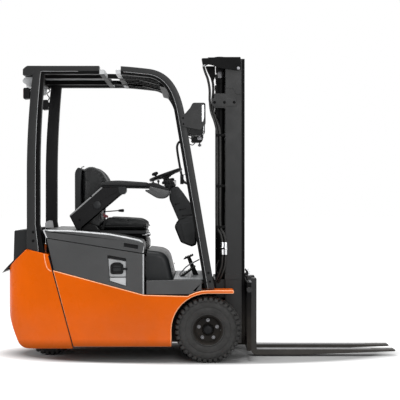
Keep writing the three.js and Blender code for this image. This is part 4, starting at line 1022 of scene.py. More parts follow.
def make_front_lamps():
    x, z = PILLAR_BEND
    plate = rounded([
        (x + 56, z + 68, 16), (x + 146, z + 68, 16), (x + 147, z - 80, 10), (x + 113, z - 122, 14),
        (x - 18, z - 96, 8), (x - 25, z - 28, 8), (x + 3, z - 10, 24), (x + 43, z + 36, 24),
    ], 6)
    housing = rounded([
        (x + 41, z - 28, 12), (x + 132, z - 28, 12), (x + 132, z - 132, 12), (x + 117, z - 158, 12),
        (x + 41, z - 160, 12),
    ], 6)
    slit = rounded([
        (x + 121, z + 53, 6), (x + 136, z + 53, 6), (x + 136, z - 34, 6), (x + 128, z - 66, 5),
        (x + 121, z - 60, 5),
    ], 5)
    plate_y = -GUARD_Y - 12
    for side in ("right", "left"):
        parts = side_shape(plate, plate_y + 0.5, -GUARD_Y - 1)
        if side == "left":
            parts = mirrored(parts)
        stand_in(f"front_lamp_{side}_plate", f"front_lamp_{side}", parts, "chassis", CHARCOAL, 3, 3, 40)
    both_sides(
        "front_lamp_housing", side_shape(housing, plate_y + 4, -432), "chassis", BLACK_PLASTIC, bevel=4,
        segments=3,
    )
    both_sides(
        "front_lamp_marker", side_shape(slit, plate_y, plate_y + 3), "chassis", CLEAR_LENS, bevel=1.4,
    )
    face = front_shape(
        rounded([(-500, z - 124, 10), (-440, z - 124, 10), (-440, z - 38, 10), (-500, z - 38, 10)]),
        x + 130, x + 136,
    )
    both_sides("front_lamp_lens", face, "chassis", CLEAR_LENS, bevel=1.5)
    fins = merge(*[block(x + 38, x + 52, -496, -444, z - 150 + 16 * i, z - 144 + 16 * i) for i in range(7)])
    both_sides("front_lamp_fins", fins, "chassis", BLACK_PLASTIC, bevel=1)
    knob = spin([
        (0, -190), (5, -188), (9, -180), (9, -172), (6, -168), (6, -156),
    ], (x + 105, -GUARD_Y + 30, z), "Z", 16)
    wings = block(x + 92, x + 118, -GUARD_Y + 27, -GUARD_Y + 33, z - 186, z - 170)
    both_sides("front_lamp_wing_bolt", merge(knob, wings), "chassis", DARK_STEEL, bevel=0.8)
    for i, (dx, dz) in enumerate(((-9, -38), (-6, -80))):
        both_sides(
            f"front_lamp_bolt_{i}", bolt((x + dx, plate_y + 0.6, z + dz), 4.5, height=4), "chassis", BLACK,
            bevel=0.3,
        )
    lead = smooth_path([
        (x + 70, -470, z - 158), (x + 50, -468, z - 176), (x + 22, -466, z - 170), (x + 2, -466, z - 190),
    ])
    both_sides("front_lamp_conduit", tube(lead, 3.5), "chassis", HOSE)


make_beacon()
make_rear_lamps()
make_front_lamps()


def make_grab_handle():
    """Grab handle on the left pillar, and the pale visor under the roof's rear end."""
    route = smooth_path([
        (-192, 465, 1580), (-216, 465, 1576), (-232, 465, 1548), (-232, 465, 1510), (-218, 465, 1420),
        (-203, 465, 1340), (-194, 465, 1296), (-178, 465, 1264), (-150, 465, 1250),
    ])
    stand_in("grab_handle_tube", "grab_handle", tube(route, 9, 14), BODY_OF["grab_handle"], BLACK_PLASTIC)
    visor = rounded([
        (-1296, 1958, 8), (-1284, 1976, 10), (-1268, 1984, 4), (-1222, 1984, 4), (-1212, 1950, 8),
        (-1220, 1918, 10), (-1244, 1912, 10), (-1290, 1944, 8),
    ])
    finish_piece("rear_visor", side_shape(visor, -424, 230), "chassis", PALE_PLASTIC, 4, 3)


make_grab_handle()


# ---------------------------------------------------------------- wheels
FRONT_WHEEL = (0, 441, 227.06)
REAR_WHEEL = (-1140, 82, 188.81)
TREAD_DEPTH = 13
TREAD_SHARE = 0.62  # of the way round that is rubber, not groove


def tread_blocks(radius, width, count, depth):
    """Two rows of heavy blocks that wrap onto the shoulders, half a step apart."""
    blocks = []
    for row in (-1, 1):
        for i in range(count):
            middle = math.tau * (i + (0.25 if row > 0 else -0.25)) / count
            half = TREAD_SHARE * math.pi / count
            outline = [middle + (2 * step / 4 - 1) * half for step in range(5)]
            section = [
                (width * 0.05, radius - depth - 3), (width * 0.05, radius - 1), (width * 0.30, radius),
                (width * 0.405, radius - 1.5), (width * 0.478, radius - 11), (width * 0.492, radius - 30),
                (width * 0.40, radius - 30), (width * 0.36, radius - depth - 3),
            ]
            lean = 0.16 * half
            rings = []
            for angle in outline:
                ring = []
                for y, r in section:
                    a = angle + lean * (y / (width / 2)) * 4 * row
                    ring.append((r * math.sin(a), row * y, r * math.cos(a)))
                rings.append(ring)
            blocks.append(loft(rings))
    return merge(*blocks)


def make_tyre(name, body, centre, radius, width, rim, count):
    """Solid tyre: carcass with moulded rings on its sidewalls, and tread blocks."""
    half = width / 2
    low = radius - TREAD_DEPTH
    profile = [
        (rim, -half + 16), (rim + 3, -half + 7), (rim + 8, -half + 3), (rim + 14, -half + 6),
        (rim + 17, -half + 3), (rim + 36, -half + 1), (rim + 52, -half + 1), (rim + 56, -half + 3.5),
        (rim + 61, -half + 1), (radius - 40, -half + 1.5), (radius - 36, -half + 5),
        (radius - 28, -half + 6), (low, -half + 24), (low + 1, 0),
    ]
    profile += [(r, -y) for r, y in reversed(profile[:-1])]
    profile.append(profile[0])
    carcass = spin(profile, centre, "Y", 96)
    stand_in(f"{name}_carcass", name, carcass, body, TYRE, sharp=50)
    blocks = moved(tread_blocks(radius, width, count, TREAD_DEPTH), Matrix.Translation(centre))
    finish_piece(f"{name}_tread", blocks, body, TYRE, 1.6, 2, 40)


def stud_spots(count, radius, centre, y):
    """Points at Y on a circle about a wheel's axle."""
    angles = [math.tau * i / count for i in range(count)]
    return [(centre[0] + radius * math.sin(a), y, centre[2] + radius * math.cos(a)) for a in angles]


def make_front_wheel(side, sign):
    """Drive wheel: tyre, dished disc with flange ring, five studs and a hub cap."""
    body = f"front_wheel_{side}"
    centre = (FRONT_WHEEL[0], sign * FRONT_WHEEL[1], FRONT_WHEEL[2])
    make_tyre(f"front_tyre_{side}", body, centre, 228.4, 177, 101, 36)

    def on_axle(profile):
        return spin([(r, sign * y) for r, y in profile], centre, "Y", 64)

    dish = [
        (0, 42), (36, 42), (40, 34), (44, 44), (84, 47), (86, 58), (92, 74), (96, 80), (103, 82), (107, 80),
        (107, 76), (101.2, 74), (101.2, -74), (107, -76), (107, -80), (96, -80), (92, -30), (60, -24),
        (0, -24),
    ]
    stand_in(f"front_rim_{side}_disc", f"front_rim_{side}", on_axle(dish), body, RIM_BLACK, 0.8, 2, 30)
    ring = [(103.5, 80.5), (106.8, 82.4), (109.6, 80.5), (106.8, 78.0), (103.5, 80.5)]
    finish_piece(f"front_rim_{side}_flange", on_axle(ring), body, DARK_STEEL)
    cap = [(0, 60), (20, 59), (29, 56), (33, 50), (34, 41), (0, 41)]
    finish_piece(f"front_rim_{side}_cap", on_axle(cap), body, BLACK_PLASTIC, sharp=50)
    studs = []
    for spot in stud_spots(5, 66, centre, centre[1] + sign * 45):
        nut = spin([(9, 0), (9, sign * 9), (7, sign * 11)], spot, "Y", 6)
        stud = spin([(5.5, 0), (5.5, sign * 17), (4.2, sign * 19)], spot, "Y", 14)
        collar = spin([(13, 0), (13, sign * 1.5), (11.5, sign * 3)], spot, "Y", 20)
        studs += [nut, stud, collar]
    finish_piece(f"front_rim_{side}_studs", merge(*studs), body, DARK_STEEL, 0.3)
    valve = spin([
        (3, 0), (3, sign * 14), (2, sign * 16),
    ], (centre[0] + 88, centre[1] + sign * 60, centre[2]), "Y", 10)
    finish_piece(f"front_rim_{side}_valve", valve, body, DARK_STEEL)


def make_rear_wheels():
    """Twin steered wheel: two tyres on one hub."""
    body = "rear_wheels"
    x, y, z = REAR_WHEEL
    for side, sign in SIDES:
        centre = (x, sign * y, z)
        make_tyre(f"rear_tyre_{side}", body, centre, 189.9, 103, 94.5, 30)
        face = [
            (0, 34), (20, 34), (26, 40), (42, 40), (44, 12), (80, 10), (86, 30), (92, 47), (97, 48),
            (99, 46), (94.5, 40), (94.5, -44), (86, -44), (60, -40), (42, -36), (0, -36),
        ]
        disc = spin([(r, sign * a) for r, a in face], centre, "Y", 56)
        finish_piece(f"rear_hub_{side}_disc", disc, body, BLACK, 0.8, 2, 30)
        nuts = [bolt(spot, 7, "Y", sign, 9) for spot in stud_spots(6, 62, centre, sign * (y + 10))]
        finish_piece(f"rear_hub_{side}_nuts", merge(*nuts), body, ZINC, 0.3)


for side, sign in SIDES:
    make_front_wheel(side, sign)
make_rear_wheels()
dress("rear_hub", BLACK, 1.5)

# ---------------------------------------------------------------- seat
SEAT_REACH = 0.010  # farthest that a point of a cushion moves while it is blown up
CLOTH_FRAMES = 20
CUSHION_GRID = 0.006
CUSHION_SEAM_Y, BACK_SEAM_Y = 142, 130
BOLSTER_RUN = 45
NO_SEAM = 99  # distance given where a seam line does not run


def remeshed(name, bm):
    """The shape as an even quad mesh."""
    piece = as_object(name, bm)
    bpy.context.scene.collection.objects.link(piece)
    grid = piece.modifiers.new("grid", "REMESH")
    grid.mode = "VOXEL"
    grid.voxel_size = CUSHION_GRID
    apply_modifiers(piece)
    return piece


def inflate(piece, held):
    """Blows the mesh up as cloth around its held points, and caps how far it goes."""
    mesh = piece.data
    rest = [v.co.copy() for v in mesh.vertices]
    group = piece.vertex_groups.new(name="held")
    group.add([v.index for v in mesh.vertices if held(v.co)], 1.0, "REPLACE")
    cloth = piece.modifiers.new("cloth", "CLOTH")
    settings = cloth.settings
    settings.quality = 4
    settings.mass = 0.3
    settings.tension_stiffness = 18
    settings.compression_stiffness = 18
    settings.bending_stiffness = 2
    settings.use_pressure = True
    settings.uniform_pressure_force = 4
    settings.vertex_group_mass = "held"
    settings.effector_weights.gravity = 0
    cloth.collision_settings.use_collision = False
    scene = bpy.context.scene
    scene.frame_start, scene.frame_end = 1, CLOTH_FRAMES
    for number in range(1, CLOTH_FRAMES + 1):
        scene.frame_set(number)
    apply_modifiers(piece)
    for vertex, start in zip(piece.data.vertices, rest):
        move = vertex.co - start
        if move.length > SEAT_REACH:
            vertex.co = start + move.normalized() * SEAT_REACH
    scene.frame_set(1)
    piece.vertex_groups.clear()


def finer(piece):
    """Splits each face in four and smooths."""
    smooth = piece.modifiers.new("finer", "SUBSURF")
    smooth.levels = smooth.render_levels = 1
    apply_modifiers(piece)


def sew(piece, lines, depth, width):
    """Presses sewn channels into the skin: each line gives a point's distance from its seam, in mm."""
    normals = [v.normal.copy() for v in piece.data.vertices]
    for vertex, normal in zip(piece.data.vertices, normals):
        x, y, z = (vertex.co.x - AXLE_X) / MM, vertex.co.y / MM, vertex.co.z / MM
        near = min(line(x, y, z) for line in lines)
        vertex.co -= normal * depth * MM * math.exp(-((near / width) ** 2))


def cushion(name, node, body, bm, held, lines):
    """A padded cushion: even mesh, blown up as cloth, then sewn along its seam lines."""
    piece = remeshed(name, bm)
    inflate(piece, held)
    finer(piece)
    sew(piece, lines, 5, 4)
    bpy.context.scene.collection.objects.unlink(piece)
    settle(piece, body, VINYL, sharp=180)
    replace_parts(piece, node)


def winged(bm, edge, lift, axis):
    """Raises the side bolsters of a cushion along an axis."""
    for vertex in bm.verts:
        share = min(1, max(0, (abs(vertex.co.y) - edge) / BOLSTER_RUN))
        vertex.co[axis] += lift * share * share * (3 - 2 * share)
    return bm


def seat_shape(profile, half, inset, count):
    """Side profile swept across the seat, drawn in a little at both ends."""
    rings = []
    anchor_x = sum(x for x, z in profile) / len(profile)
    anchor_z = min(z for x, z in profile)
    for i in range(count + 1):
        t = 2 * i / count - 1
        k = 1 - inset * abs(t) ** 6
        rings.append([
            (anchor_x + (x - anchor_x) * k, half * t, anchor_z + (z - anchor_z) * k)
            for x, z in profile
        ])
    return loft(rings)


def bellows_ring(z, inset):
    """Outline of the seat's bellows at height z."""
    left, right, half = -786 + inset, -436 - inset, 190 - inset
    corners = [(left, -half, 20), (right, -half, 20), (right, half, 20), (left, half, 20)]
    return [(x, y, z) for x, y in rounded(corners, 4)]


def make_seat():
    body = BODY_OF["seat_cushion"]
    base = rounded([
        (-752, 910, 14), (-742, 984, 34), (-600, 978), (-480, 970, 40), (-430, 944, 26), (-436, 910, 14),
    ], 6)
    pad = winged(seat_shape(base, 232, 0.05, 22), 140, 10, 2)

    def cushion_seams(x, y, z):
        along = abs(abs(y) - CUSHION_SEAM_Y) if z > 930 else NO_SEAM
        across = abs(x + 600) if abs(y) < CUSHION_SEAM_Y and z > 940 else NO_SEAM
        return min(along, across)

    def side_seam(x, y, z):
        return abs(z - 938) if abs(y) > 205 or x > -450 else NO_SEAM

    cushion(
        "seat_cushion_pad", "seat_cushion", body, pad, lambda co: co.z < 0.914,
        (cushion_seams, side_seam),
    )
    back = rounded([
        (-902, 930, 10), (-908, 1100), (-905, 1346, 24), (-868, 1374, 20), (-815, 1362, 40),
        (-770, 1326, 40), (-734, 1262, 30), (-756, 1180, 50), (-790, 1040, 60), (-778, 930, 24),
    ], 6)
    rest = winged(seat_shape(back, 222, 0.04, 22), 128, 12, 0)

    def back_seams(x, y, z):
        ahead = x > -860 or z > 1350
        across = NO_SEAM
        if abs(y) < BACK_SEAM_Y - 2:
            across = min(abs(z - level) for level in (1010, 1090, 1170, 1250))
        return min(abs(abs(y) - BACK_SEAM_Y), across) if ahead else NO_SEAM

    def back_edge(x, y, z):
        return abs(x + 872 - 0.1 * (z - 1100)) if abs(y) > 190 else NO_SEAM

    cushion(
        "seat_back_pad", "seat_back", body, rest, lambda co: co.x < place(-900, 0, 0).x,
        (back_seams, back_edge),
    )
    shell = rounded([
        (-951, 940, 12), (-952, 1325, 30), (-930, 1358, 20), (-908, 1352, 8), (-906, 1200), (-907, 930, 6),
        (-926, 922, 6),
    ], 5)
    finish_piece("seat_back_shell", side_shape(shell, -229, 229), body, DARK_PLASTIC, 9, 4)
    finish_piece("seat_back_panel", block(-953.5, -950, -180, 180, 985, 1285), body, BLACK_PLASTIC, 1.2)
    # The back's piping is a paler grey than the vinyl, as a painted highlight along the seat back's edges.
    for y in (-222, 222):
        line = smooth_path([(-905, y, 945), (-909, y, 1100), (-908, y, 1330), (-885, y * 0.995, 1366)])
        finish_piece(f"seat_back_piping_{y + 222}", tube(line, 3.2, 8), body, HOOD_GREY)
    edge = smooth_path([
        (-748, -236, 945), (-560, -238, 944), (-462, -236, 940), (-434, -215, 935), (-430, 0, 935),
        (-434, 215, 935), (-462, 236, 940), (-560, 238, 944), (-748, 236, 945),
    ])
    finish_piece("seat_cushion_piping", tube(edge, 3.2, 8), body, VINYL)
    pan = rounded([(-780, 880, 10), (-780, 907, 6), (-446, 907, 12), (-436, 894, 10), (-446, 880, 8)])
    stand_in("seat_pan", "seat_base", side_shape(pan, -212, 212), body, DARK_PLASTIC, 5, 3)
    finish_piece(
        "seat_rails", merge(*[block(-788, -452, y - 14, y + 14, 858, 880) for y in (-150, 150)]), body,
        BLACK, 2,
    )
    folds = []
    for i in range(6):
        z = 758 + i * 17
        folds += [bellows_ring(z, 10), bellows_ring(z + 8.5, 0)]
    folds.append(bellows_ring(859, 10))
    finish_piece("seat_bellows", loft(folds), body, RIM_BLACK, 2.5, 2, 25)
    knob = turned([
        (0, -14), (9, -13), (12, -3), (12, 6), (16, 12), (16, 22), (11, 27), (0, 28),
    ], (1, 0, 0.25), (-438, -196, 876))
    finish_piece("seat_lever_knob", knob, body, ZINC, 0.6)
    slide = tube(smooth_path([(-470, -196, 872), (-452, -196, 872), (-436, -196, 878)]), 5)
    finish_piece("seat_lever", slide, body, DARK_STEEL)
    bar = tube([(-745, -205, 1040), (-640, -232, 1048), (-612, -236, 1050)], 4)
    grip = turned([
        (0, 0), (7, 2), (9, 10), (11, 30), (11, 38), (7, 42), (0, 42),
    ], (1, -0.08, 0.02), (-640, -233, 1048))
    finish_piece("seat_weight_lever", bar, body, BLACK)
    finish_piece("seat_weight_knob", grip, body, BLACK_PLASTIC, 0.8)
    slabs(
        body,
        (
            (
                "belt_buckle", [(-742, 1000, 5), (-752, 1030, 5), (-712, 1012, 5), (-712, 996, 5)], -240,
                -222, RED_PLASTIC, 3,
            ),
            (
                "belt_stalk", [(-760, 915), (-738, 990), (-722, 985), (-742, 912)], -236, -228,
                BLACK_PLASTIC, 1.5,
            ),
        ),
    )
    finish_piece("seat_hinge", block(-806, -744, -196, 196, 908, 934), body, BLACK, 4)
    webbing = [(-800, 925), (-772, 925), (-768, 1010), (-796, 1012)]
    slabs(body, [("belt_webbing", webbing, 238, 241, BLACK_PLASTIC, 0.6)])
    reel = spin([(0, -10), (26, -10), (28, -6), (28, 8), (24, 12), (0, 12)], (-790, 232, 938), "Y", 28)
    finish_piece("belt_reel", reel, body, BLACK_PLASTIC, 1)


make_seat()


# ---------------------------------------------------------------- armrest and console
ARMREST_PIVOT = (-777, 0, 1090)
ARMREST_FOOT = [
    (-925, 916, 4), (-925, 946, 6), (-860, 968, 10), (-790, 940, 8), (-760, 900, 4), (-800, 903, 2),
]
ARMREST_SLIDE = [
    (-628, 1218, 4), (-572, 1218, 4), (-572, 1182, 8), (-586, 1164, 6), (-616, 1164, 6), (-628, 1180, 6),
]
ARMREST_RAIL = [
    (-742, 1214, 4), (-742, 1226, 4), (-404, 1216, 4), (-404, 1203, 4), (-560, 1206, 4), (-640, 1210, 4),
]


def make_armrest():
    body = BODY_OF["armrest"]
    arm = rounded([
        (-973, 1012, 6), (-741, 1215, 8), (-577, 1215, 6), (-577, 1182, 4), (-622, 1150, 8), (-882, 930, 6),
        (-884, 914, 2), (-923, 916, 4),
    ])
    stand_in("armrest_support", "armrest", side_shape(arm, -375, -300), body, BLACK_PLASTIC, 7, 4)
    # Pale strip on the support's upper edge: a painted highlight.
    strip = side_shape([
        (-972, 1016), (-968, 1021), (-748, 1214), (-740, 1212), (-742, 1206), (-960, 1014),
    ], -376.5, -340)
    finish_piece("armrest_support_highlight_strip", strip, body, CHARCOAL_HIGHLIGHT, 2.5, 3)
    slabs(body, [("armrest_foot", ARMREST_FOOT, -352, -304, BLACK_PLASTIC, 4, 3)])
    cap = spin([
        (0, -378.5), (24, -378.5), (27, -377), (29, -374), (29, -360), (0, -360),
    ], ARMREST_PIVOT, "Y", 40)
    finish_piece("armrest_pivot_cap", cap, body, DARK_PLASTIC, 0.6)
    ring = spin([
        (28, -377), (30.5, -378.5), (33, -377), (33, -373), (28, -373), (28, -377),
    ], ARMREST_PIVOT, "Y", 40)
    finish_piece("armrest_pivot_ring", ring, body, BLACK_PLASTIC)
    for x, z in ((-900, 985), (-820, 1150)):
        finish_piece(f"armrest_screw_{-x}", bolt((x, -375, z), 5, height=3), body, BLACK, 0.3)
    slabs(body, (
        ("armrest_slide", ARMREST_SLIDE, -383, -296, DARK_PLASTIC, 3, 3),
        ("armrest_rail", ARMREST_RAIL, -376, -298, BLACK_PLASTIC, 4, 3),
    ))
    top = rounded([
        (-755, 1224, 6), (-752, 1242, 14), (-715, 1256, 40), (-640, 1263, 60), (-520, 1255, 50),
        (-424, 1248, 14), (-416, 1232, 10), (-424, 1217, 8), (-560, 1219, 30),
    ], 6)
    finish_piece("armrest_pad", pillow(top, -385, -290, 20), body, VINYL, sharp=60)


def make_console():
    body = BODY_OF["control_console"]
    lower = rounded([
        (-412, 1196, 3), (-412, 1226, 6), (-360, 1213, 20), (-262, 1190, 8), (-262, 1168, 10),
        (-296, 1134, 22), (-352, 1133, 24), (-440, 1186, 14), (-440, 1196, 3),
    ], 6)
    stand_in("console_body", "control_console", pillow(lower, -384, -291, 16), body, HOOD_GREY, sharp=60)
    upper = rounded([
        (-440, 1219, 4), (-440, 1242, 10), (-366, 1246, 20), (-300, 1216, 20), (-262, 1190, 6),
        (-262, 1187, 3), (-360, 1209, 20),
    ], 6)
    finish_piece("console_top", pillow(upper, -382, -293, 10), body, BLACK_PLASTIC, sharp=60)
    for i, (x, y) in enumerate(((-385, -362), (-385, -338), (-385, -314), (-348, -350))):
        z = 1244 if x < -370 else 1232
        stick = spin([(3, -6), (3, 12), (7, 16), (9, 24), (8, 30), (4, 33), (0, 33)], (x, y, z), "Z", 20)
        finish_piece(f"console_lever_{i}", stick, body, BLACK_PLASTIC, 0.5)
        boot = spin([(14, -4), (12, 2), (7, 4), (5, 9), (3, 10)], (x, y, z), "Z", 20)
        finish_piece(f"console_boot_{i}", boot, body, HOSE, 0.4)
    for i, y in enumerate((-356, -326)):
        key = block(-322, -304, y - 8, y + 8, 1218, 1226)
        finish_piece(f"console_key_{i}", key, body, PALE_PLASTIC, 2)


make_armrest()
make_console()


# ---------------------------------------------------------------- steering
STEER = JOINTS["steering_turn"]
STEER_AXIS = Vector(STEER["axis"])
STEER_CENTRE = Vector(((STEER["pos_m"][0] - AXLE_X) / MM, STEER["pos_m"][1] / MM, STEER["pos_m"][2] / MM))


def on_column(bm):
    """Moves a shape built about the origin, with Z up the column, onto the steering axis."""
    return on_axis(bm, STEER_AXIS, STEER_CENTRE)


def make_steering_wheel():
    body = BODY_OF["steering_wheel"]
    rim = [(116 + 12.4 * a, 12.4 * b) for a, b in circle(1, 16)]
    rim.append(rim[0])
    ring = on_column(spin(rim, (0, 0, 0), "Z", 72))
    stand_in("steering_rim", "steering_wheel", ring, body, BLACK_PLASTIC, sharp=80)
    spokes = []
    for i in range(3):
        angle = math.radians(90 + 120 * i)
        out = Vector((math.cos(angle), math.sin(angle), 0))
        side = Vector((-out.y, out.x, 0))
        rings = []
        for reach, half, z, thick in (
            (20, 20, -12, 8), (45, 15, -14, 6), (75, 11, -11, 5), (108, 13, -3, 5),
        ):
            ring = rounded([(-half, -thick, 3), (half, -thick, 3), (half, thick, 3), (-half, thick, 3)], 3)
            rings.append([tuple(out * reach + side * a + Vector((0, 0, z + b))) for a, b in ring])
        spokes.append(loft(rings))
    finish_piece("steering_spokes", on_column(merge(*spokes)), body, DARK_PLASTIC, 0.8)
    hub = [(0, 6), (20, 5), (30, 0), (34, -8), (34, -24), (16, -28), (14, -60), (0, -60)]
    finish_piece("steering_hub", on_column(spin(hub, (0, 0, 0), "Z", 40)), body, BLACK_PLASTIC, 1)
    cap = [(0, 9), (14, 8.5), (22, 6), (23, 3)]
    finish_piece("steering_hub_cap", on_column(spin([*cap, (0, 3)], (0, 0, 0), "Z", 40)), body, DARK_STEEL)
    knob = [(0, 50), (14, 49), (22, 45), (25, 38), (23, 29), (12, 24), (7, 20), (7, 0), (12, -6), (0, -6)]
    finish_piece("steering_knob", on_column(spin(knob, (-75, 88, 0), "Z", 28)), body, BLACK_PLASTIC, 0.6)


def make_column():
    body = BODY_OF["steering_column"]
    upper = rounded([
        (-278, 1124, 14), (-284, 1196, 10), (-264, 1218, 12), (-216, 1224, 10), (-180, 1180, 20),
        (-98, 1062, 30), (-96, 1006, 16), (-206, 958, 10),
    ], 6)
    stand_in("column_shroud", "steering_column", pillow(upper, -84, 84, 22), body, DARK_PLASTIC, sharp=60)
    lower = rounded([
        (-212, 984, 10), (-150, 1004, 20), (-98, 1016, 16), (-84, 935, 30), (-80, 798, 14), (-114, 783, 10),
        (-196, 814, 16), (-244, 932, 20),
    ], 6)
    finish_piece("column_lower_cover", pillow(lower, -93, 93, 18), body, DARK_PLASTIC, sharp=60)
    panel = rounded([
        (-200, 952, 12), (-110, 966, 10), (-92, 956, 8), (-88, 812, 10), (-112, 796, 10), (-166, 812, 16),
    ], 6)
    both_sides("column_side_panel", side_shape(panel, -96, -90), body, DARK_PLASTIC, bevel=3, segments=3)
    collar = turned([
        (26, -112), (38, -108), (40, -98), (40, -72), (36, -64), (20, -62),
    ], STEER_AXIS, STEER_CENTRE, 36)
    finish_piece("column_collar", collar, body, DARK_PLASTIC, 1.5)
    for i, (x, z, w) in enumerate(((-238, 1096, 34), (-206, 1056, 46), (-186, 1012, 70))):
        bar = side_shape([(x, z), (x + w, z + 10), (x + w, z + 1), (x, z - 9)], -87, -82)
        both_sides(f"column_latch_{i}", bar, body, BLACK_PLASTIC, bevel=1.5)
        both_sides(f"column_latch_pin_{i}", bolt((x + 5, -86, z - 3), 4, height=4), body, BLACK, bevel=0.3)
    seam = [(x, -89.5, z) for x, z in ((-228, 960), (-190, 985), (-140, 996), (-96, 1000))]
    both_sides("column_seam", tube(smooth_path(seam), 2.4, 8), body, BLACK_PLASTIC)
    clusters = turned([(24, -66), (46, -60), (50, -50), (44, -40), (28, -36)], STEER_AXIS, STEER_CENTRE, 36)
    finish_piece("column_switch_ring", clusters, body, BLACK_PLASTIC, 1)
    centre = STEER_CENTRE + STEER_AXIS * -52
    for side in (-1, 1):
        start = centre + Vector((10, 40 * side, 0))
        end = centre + Vector((-40, 128 * side, 26))
        finish_piece(
            f"column_stalk_{side + 1}",
            tube(smooth_path([start, start.lerp(end, 0.5) + Vector((0, 0, 4)), end]), 4), body,
            BLACK_PLASTIC,
        )
        tip = turned([(0, -14), (7, -12), (9, 0), (8, 14), (4, 17), (0, 17)], end - start, end)
        finish_piece(f"column_stalk_tip_{side + 1}", tip, body, BLACK_PLASTIC)
        box_centre = centre + Vector((0, 52 * side, 4))
        x, y, z = box_centre
        finish_piece(
            f"column_switch_{side + 1}", block(x - 34, x + 26, y - 10, y + 10, z - 16, z + 14), body,
            BLACK_PLASTIC, 5, 3,
        )
    x, y, z = centre
    post = spin([
        (0, -30), (12, -30), (13, -20), (13, 34), (9, 42), (0, 43),
    ], (x + 102, -60, z + 8), "Z", 24)
    finish_piece("column_lamp_post", post, body, BLACK_PLASTIC, 0.8)
    loop = smooth_path([
        (x + 116, -60, z - 16), (x + 136, -62, z + 6), (x + 146, -62, z + 34), (x + 132, -60, z + 50),
        (x + 112, -58, z + 46),
    ])
    finish_piece("column_wire_loop", tube(loop, 2.2, 8), body, HOSE)
    rows = merge(*[block(x - 20, x + 60, -70, -44, z - 34 + 9 * i, z - 29 + 9 * i) for i in range(5)])
    finish_piece("column_switch_fins", rows, body, DARK_PLASTIC, 1.2)


make_steering_wheel()
make_column()

# ---------------------------------------------------------------- mast
RAIL_Y = 330
HOSE_Y = -300
HOSE_X = 104
HOSE_FRONT_X = 214
LIFT_X, LIFT_Y = 92, 238


def hose(name, points, body, radius=9):
    return finish_piece(name, tube(smooth_path(points), radius, 12), body, HOSE)


def make_hoses():
    """Two clipped hydraulic hoses: from the frame up behind the right rail to the guide on the inner mast."""
    low, high = (60, HOSE_Y, 556), (HOSE_X, HOSE_Y - 30, 728)
    foot = ("chassis", "mast_outer", low, high)
    top = ("mast_outer", "mast_inner", (15, -185, 1900), (-24, -178, 2070))
    for i, shift in enumerate((0, 22)):
        x = 68 + shift
        y = HOSE_Y - 6 * i
        straight = HOSE_X + shift
        hose(
            f"mast_hose_foot_{i}",
            [
                (51 + shift, HOSE_Y, 540), (75 + shift, y - 12, 590), (98 + shift, y - 24, 660),
                (straight, y - 30, 728), (straight, y - 30, 760),
            ],
            foot,
        )
        hose(
            f"mast_hose_{i}",
            [
                (straight, y - 30, 800), (straight, y - 30, 830), (92 + shift, y - 18, 885), (x, y, 950),
                (x, y, 1200), (x, y, 1450), (x - 3, y, 1600), (50 + shift * 0.8, -272, 1680),
                (24 + shift * 0.7, -225, 1760), (14 + shift * 0.9, -200, 1850),
            ],
            "mast_outer",
        )
        hose(f"mast_hose_top_{i}", [
            (14 + shift * 0.9, -200, 1845), (14 + shift * 1.2, -190, 1920), (2 + shift * 1.4, -183, 1990),
            (-18 + shift * 1.2, -182 + 14 * i, 2046), (-30 + shift, -180 + 14 * i, 2086),
        ], top)
        ferrule = [
            (0, 738), (11, 738), (12, 742), (12, 774), (15, 776), (15, 790), (12, 792), (12, 822),
            (11, 826), (0, 826),
        ]
        sleeve = spin(ferrule, (straight, y - 30, 0), "Z", 20)
        finish_piece(f"mast_hose_ferrule_{i}", sleeve, "mast_outer", ZINC, 0.5)
        across = -166 + 8 * i
        over = [
            (-28, -180 + 14 * i, 2088), (20, -176, 2128), (80, -172 + 8 * i, 2122),
            (150, -168 + 8 * i, 2108), (HOSE_FRONT_X, across, 2076),
        ]
        hose(f"mast_hose_over_{i}", over, "mast_inner", 8)
        down = ("mast_inner", "carriage", (HOSE_FRONT_X, across, 2040), (HOSE_FRONT_X, across, 420))
        heights = (2080, *range(2000, 400, -160))
        front = [(HOSE_FRONT_X, across, z) for z in heights] + [(226, -168, 380)]
        hose(f"carriage_hose_{i}", front, down, 6)
    for z in (933, 1223, 1583):
        clip = block(56, 126, HOSE_Y - 18, HOSE_Y + 12, z - 10, z + 10)
        finish_piece(f"hose_clip_{z}", clip, "mast_outer", BLACK, 4)
        finish_piece(
            f"hose_clip_bolt_{z}", bolt((79, HOSE_Y - 18, z), 5, height=4), "mast_outer", BLACK, 0.3,
        )
    bracket = rounded([(84, 777, 4), (84, 789, 4), (144, 789, 4), (144, 777, 4)])
    finish_piece("hose_bracket", side_shape(bracket, HOSE_Y - 46, HOSE_Y - 20), "mast_outer", BLACK, 2)
    wire = smooth_path([(78, -318, 700), (66, -322, 668), (60, -320, 630), (74, -316, 600)])
    finish_piece("mast_sensor_wire", tube(wire, 2.5), "mast_outer", HOSE)


SHEAVE = (150, 2030)
SHEAVE_RADIUS = 45
CHAIN_Y = 150
LINK = 19
WRAP_STEPS = 24


def chain_run(x, z0, z1, y):
    """Upright leaf chain: plates swell round each pin."""
    rings = []
    count = max(2, round(abs(z1 - z0) / (LINK / 4)))
    for i in range(count + 1):
        z = z0 + (z1 - z0) * i / count
        half = 8.5 if i % 4 in (0, 1) else 6
        rings.append([
            (x - half, y - 10, z), (x + half, y - 10, z), (x + half, y + 10, z), (x - half, y + 10, z),
        ])
    return loft(rings)


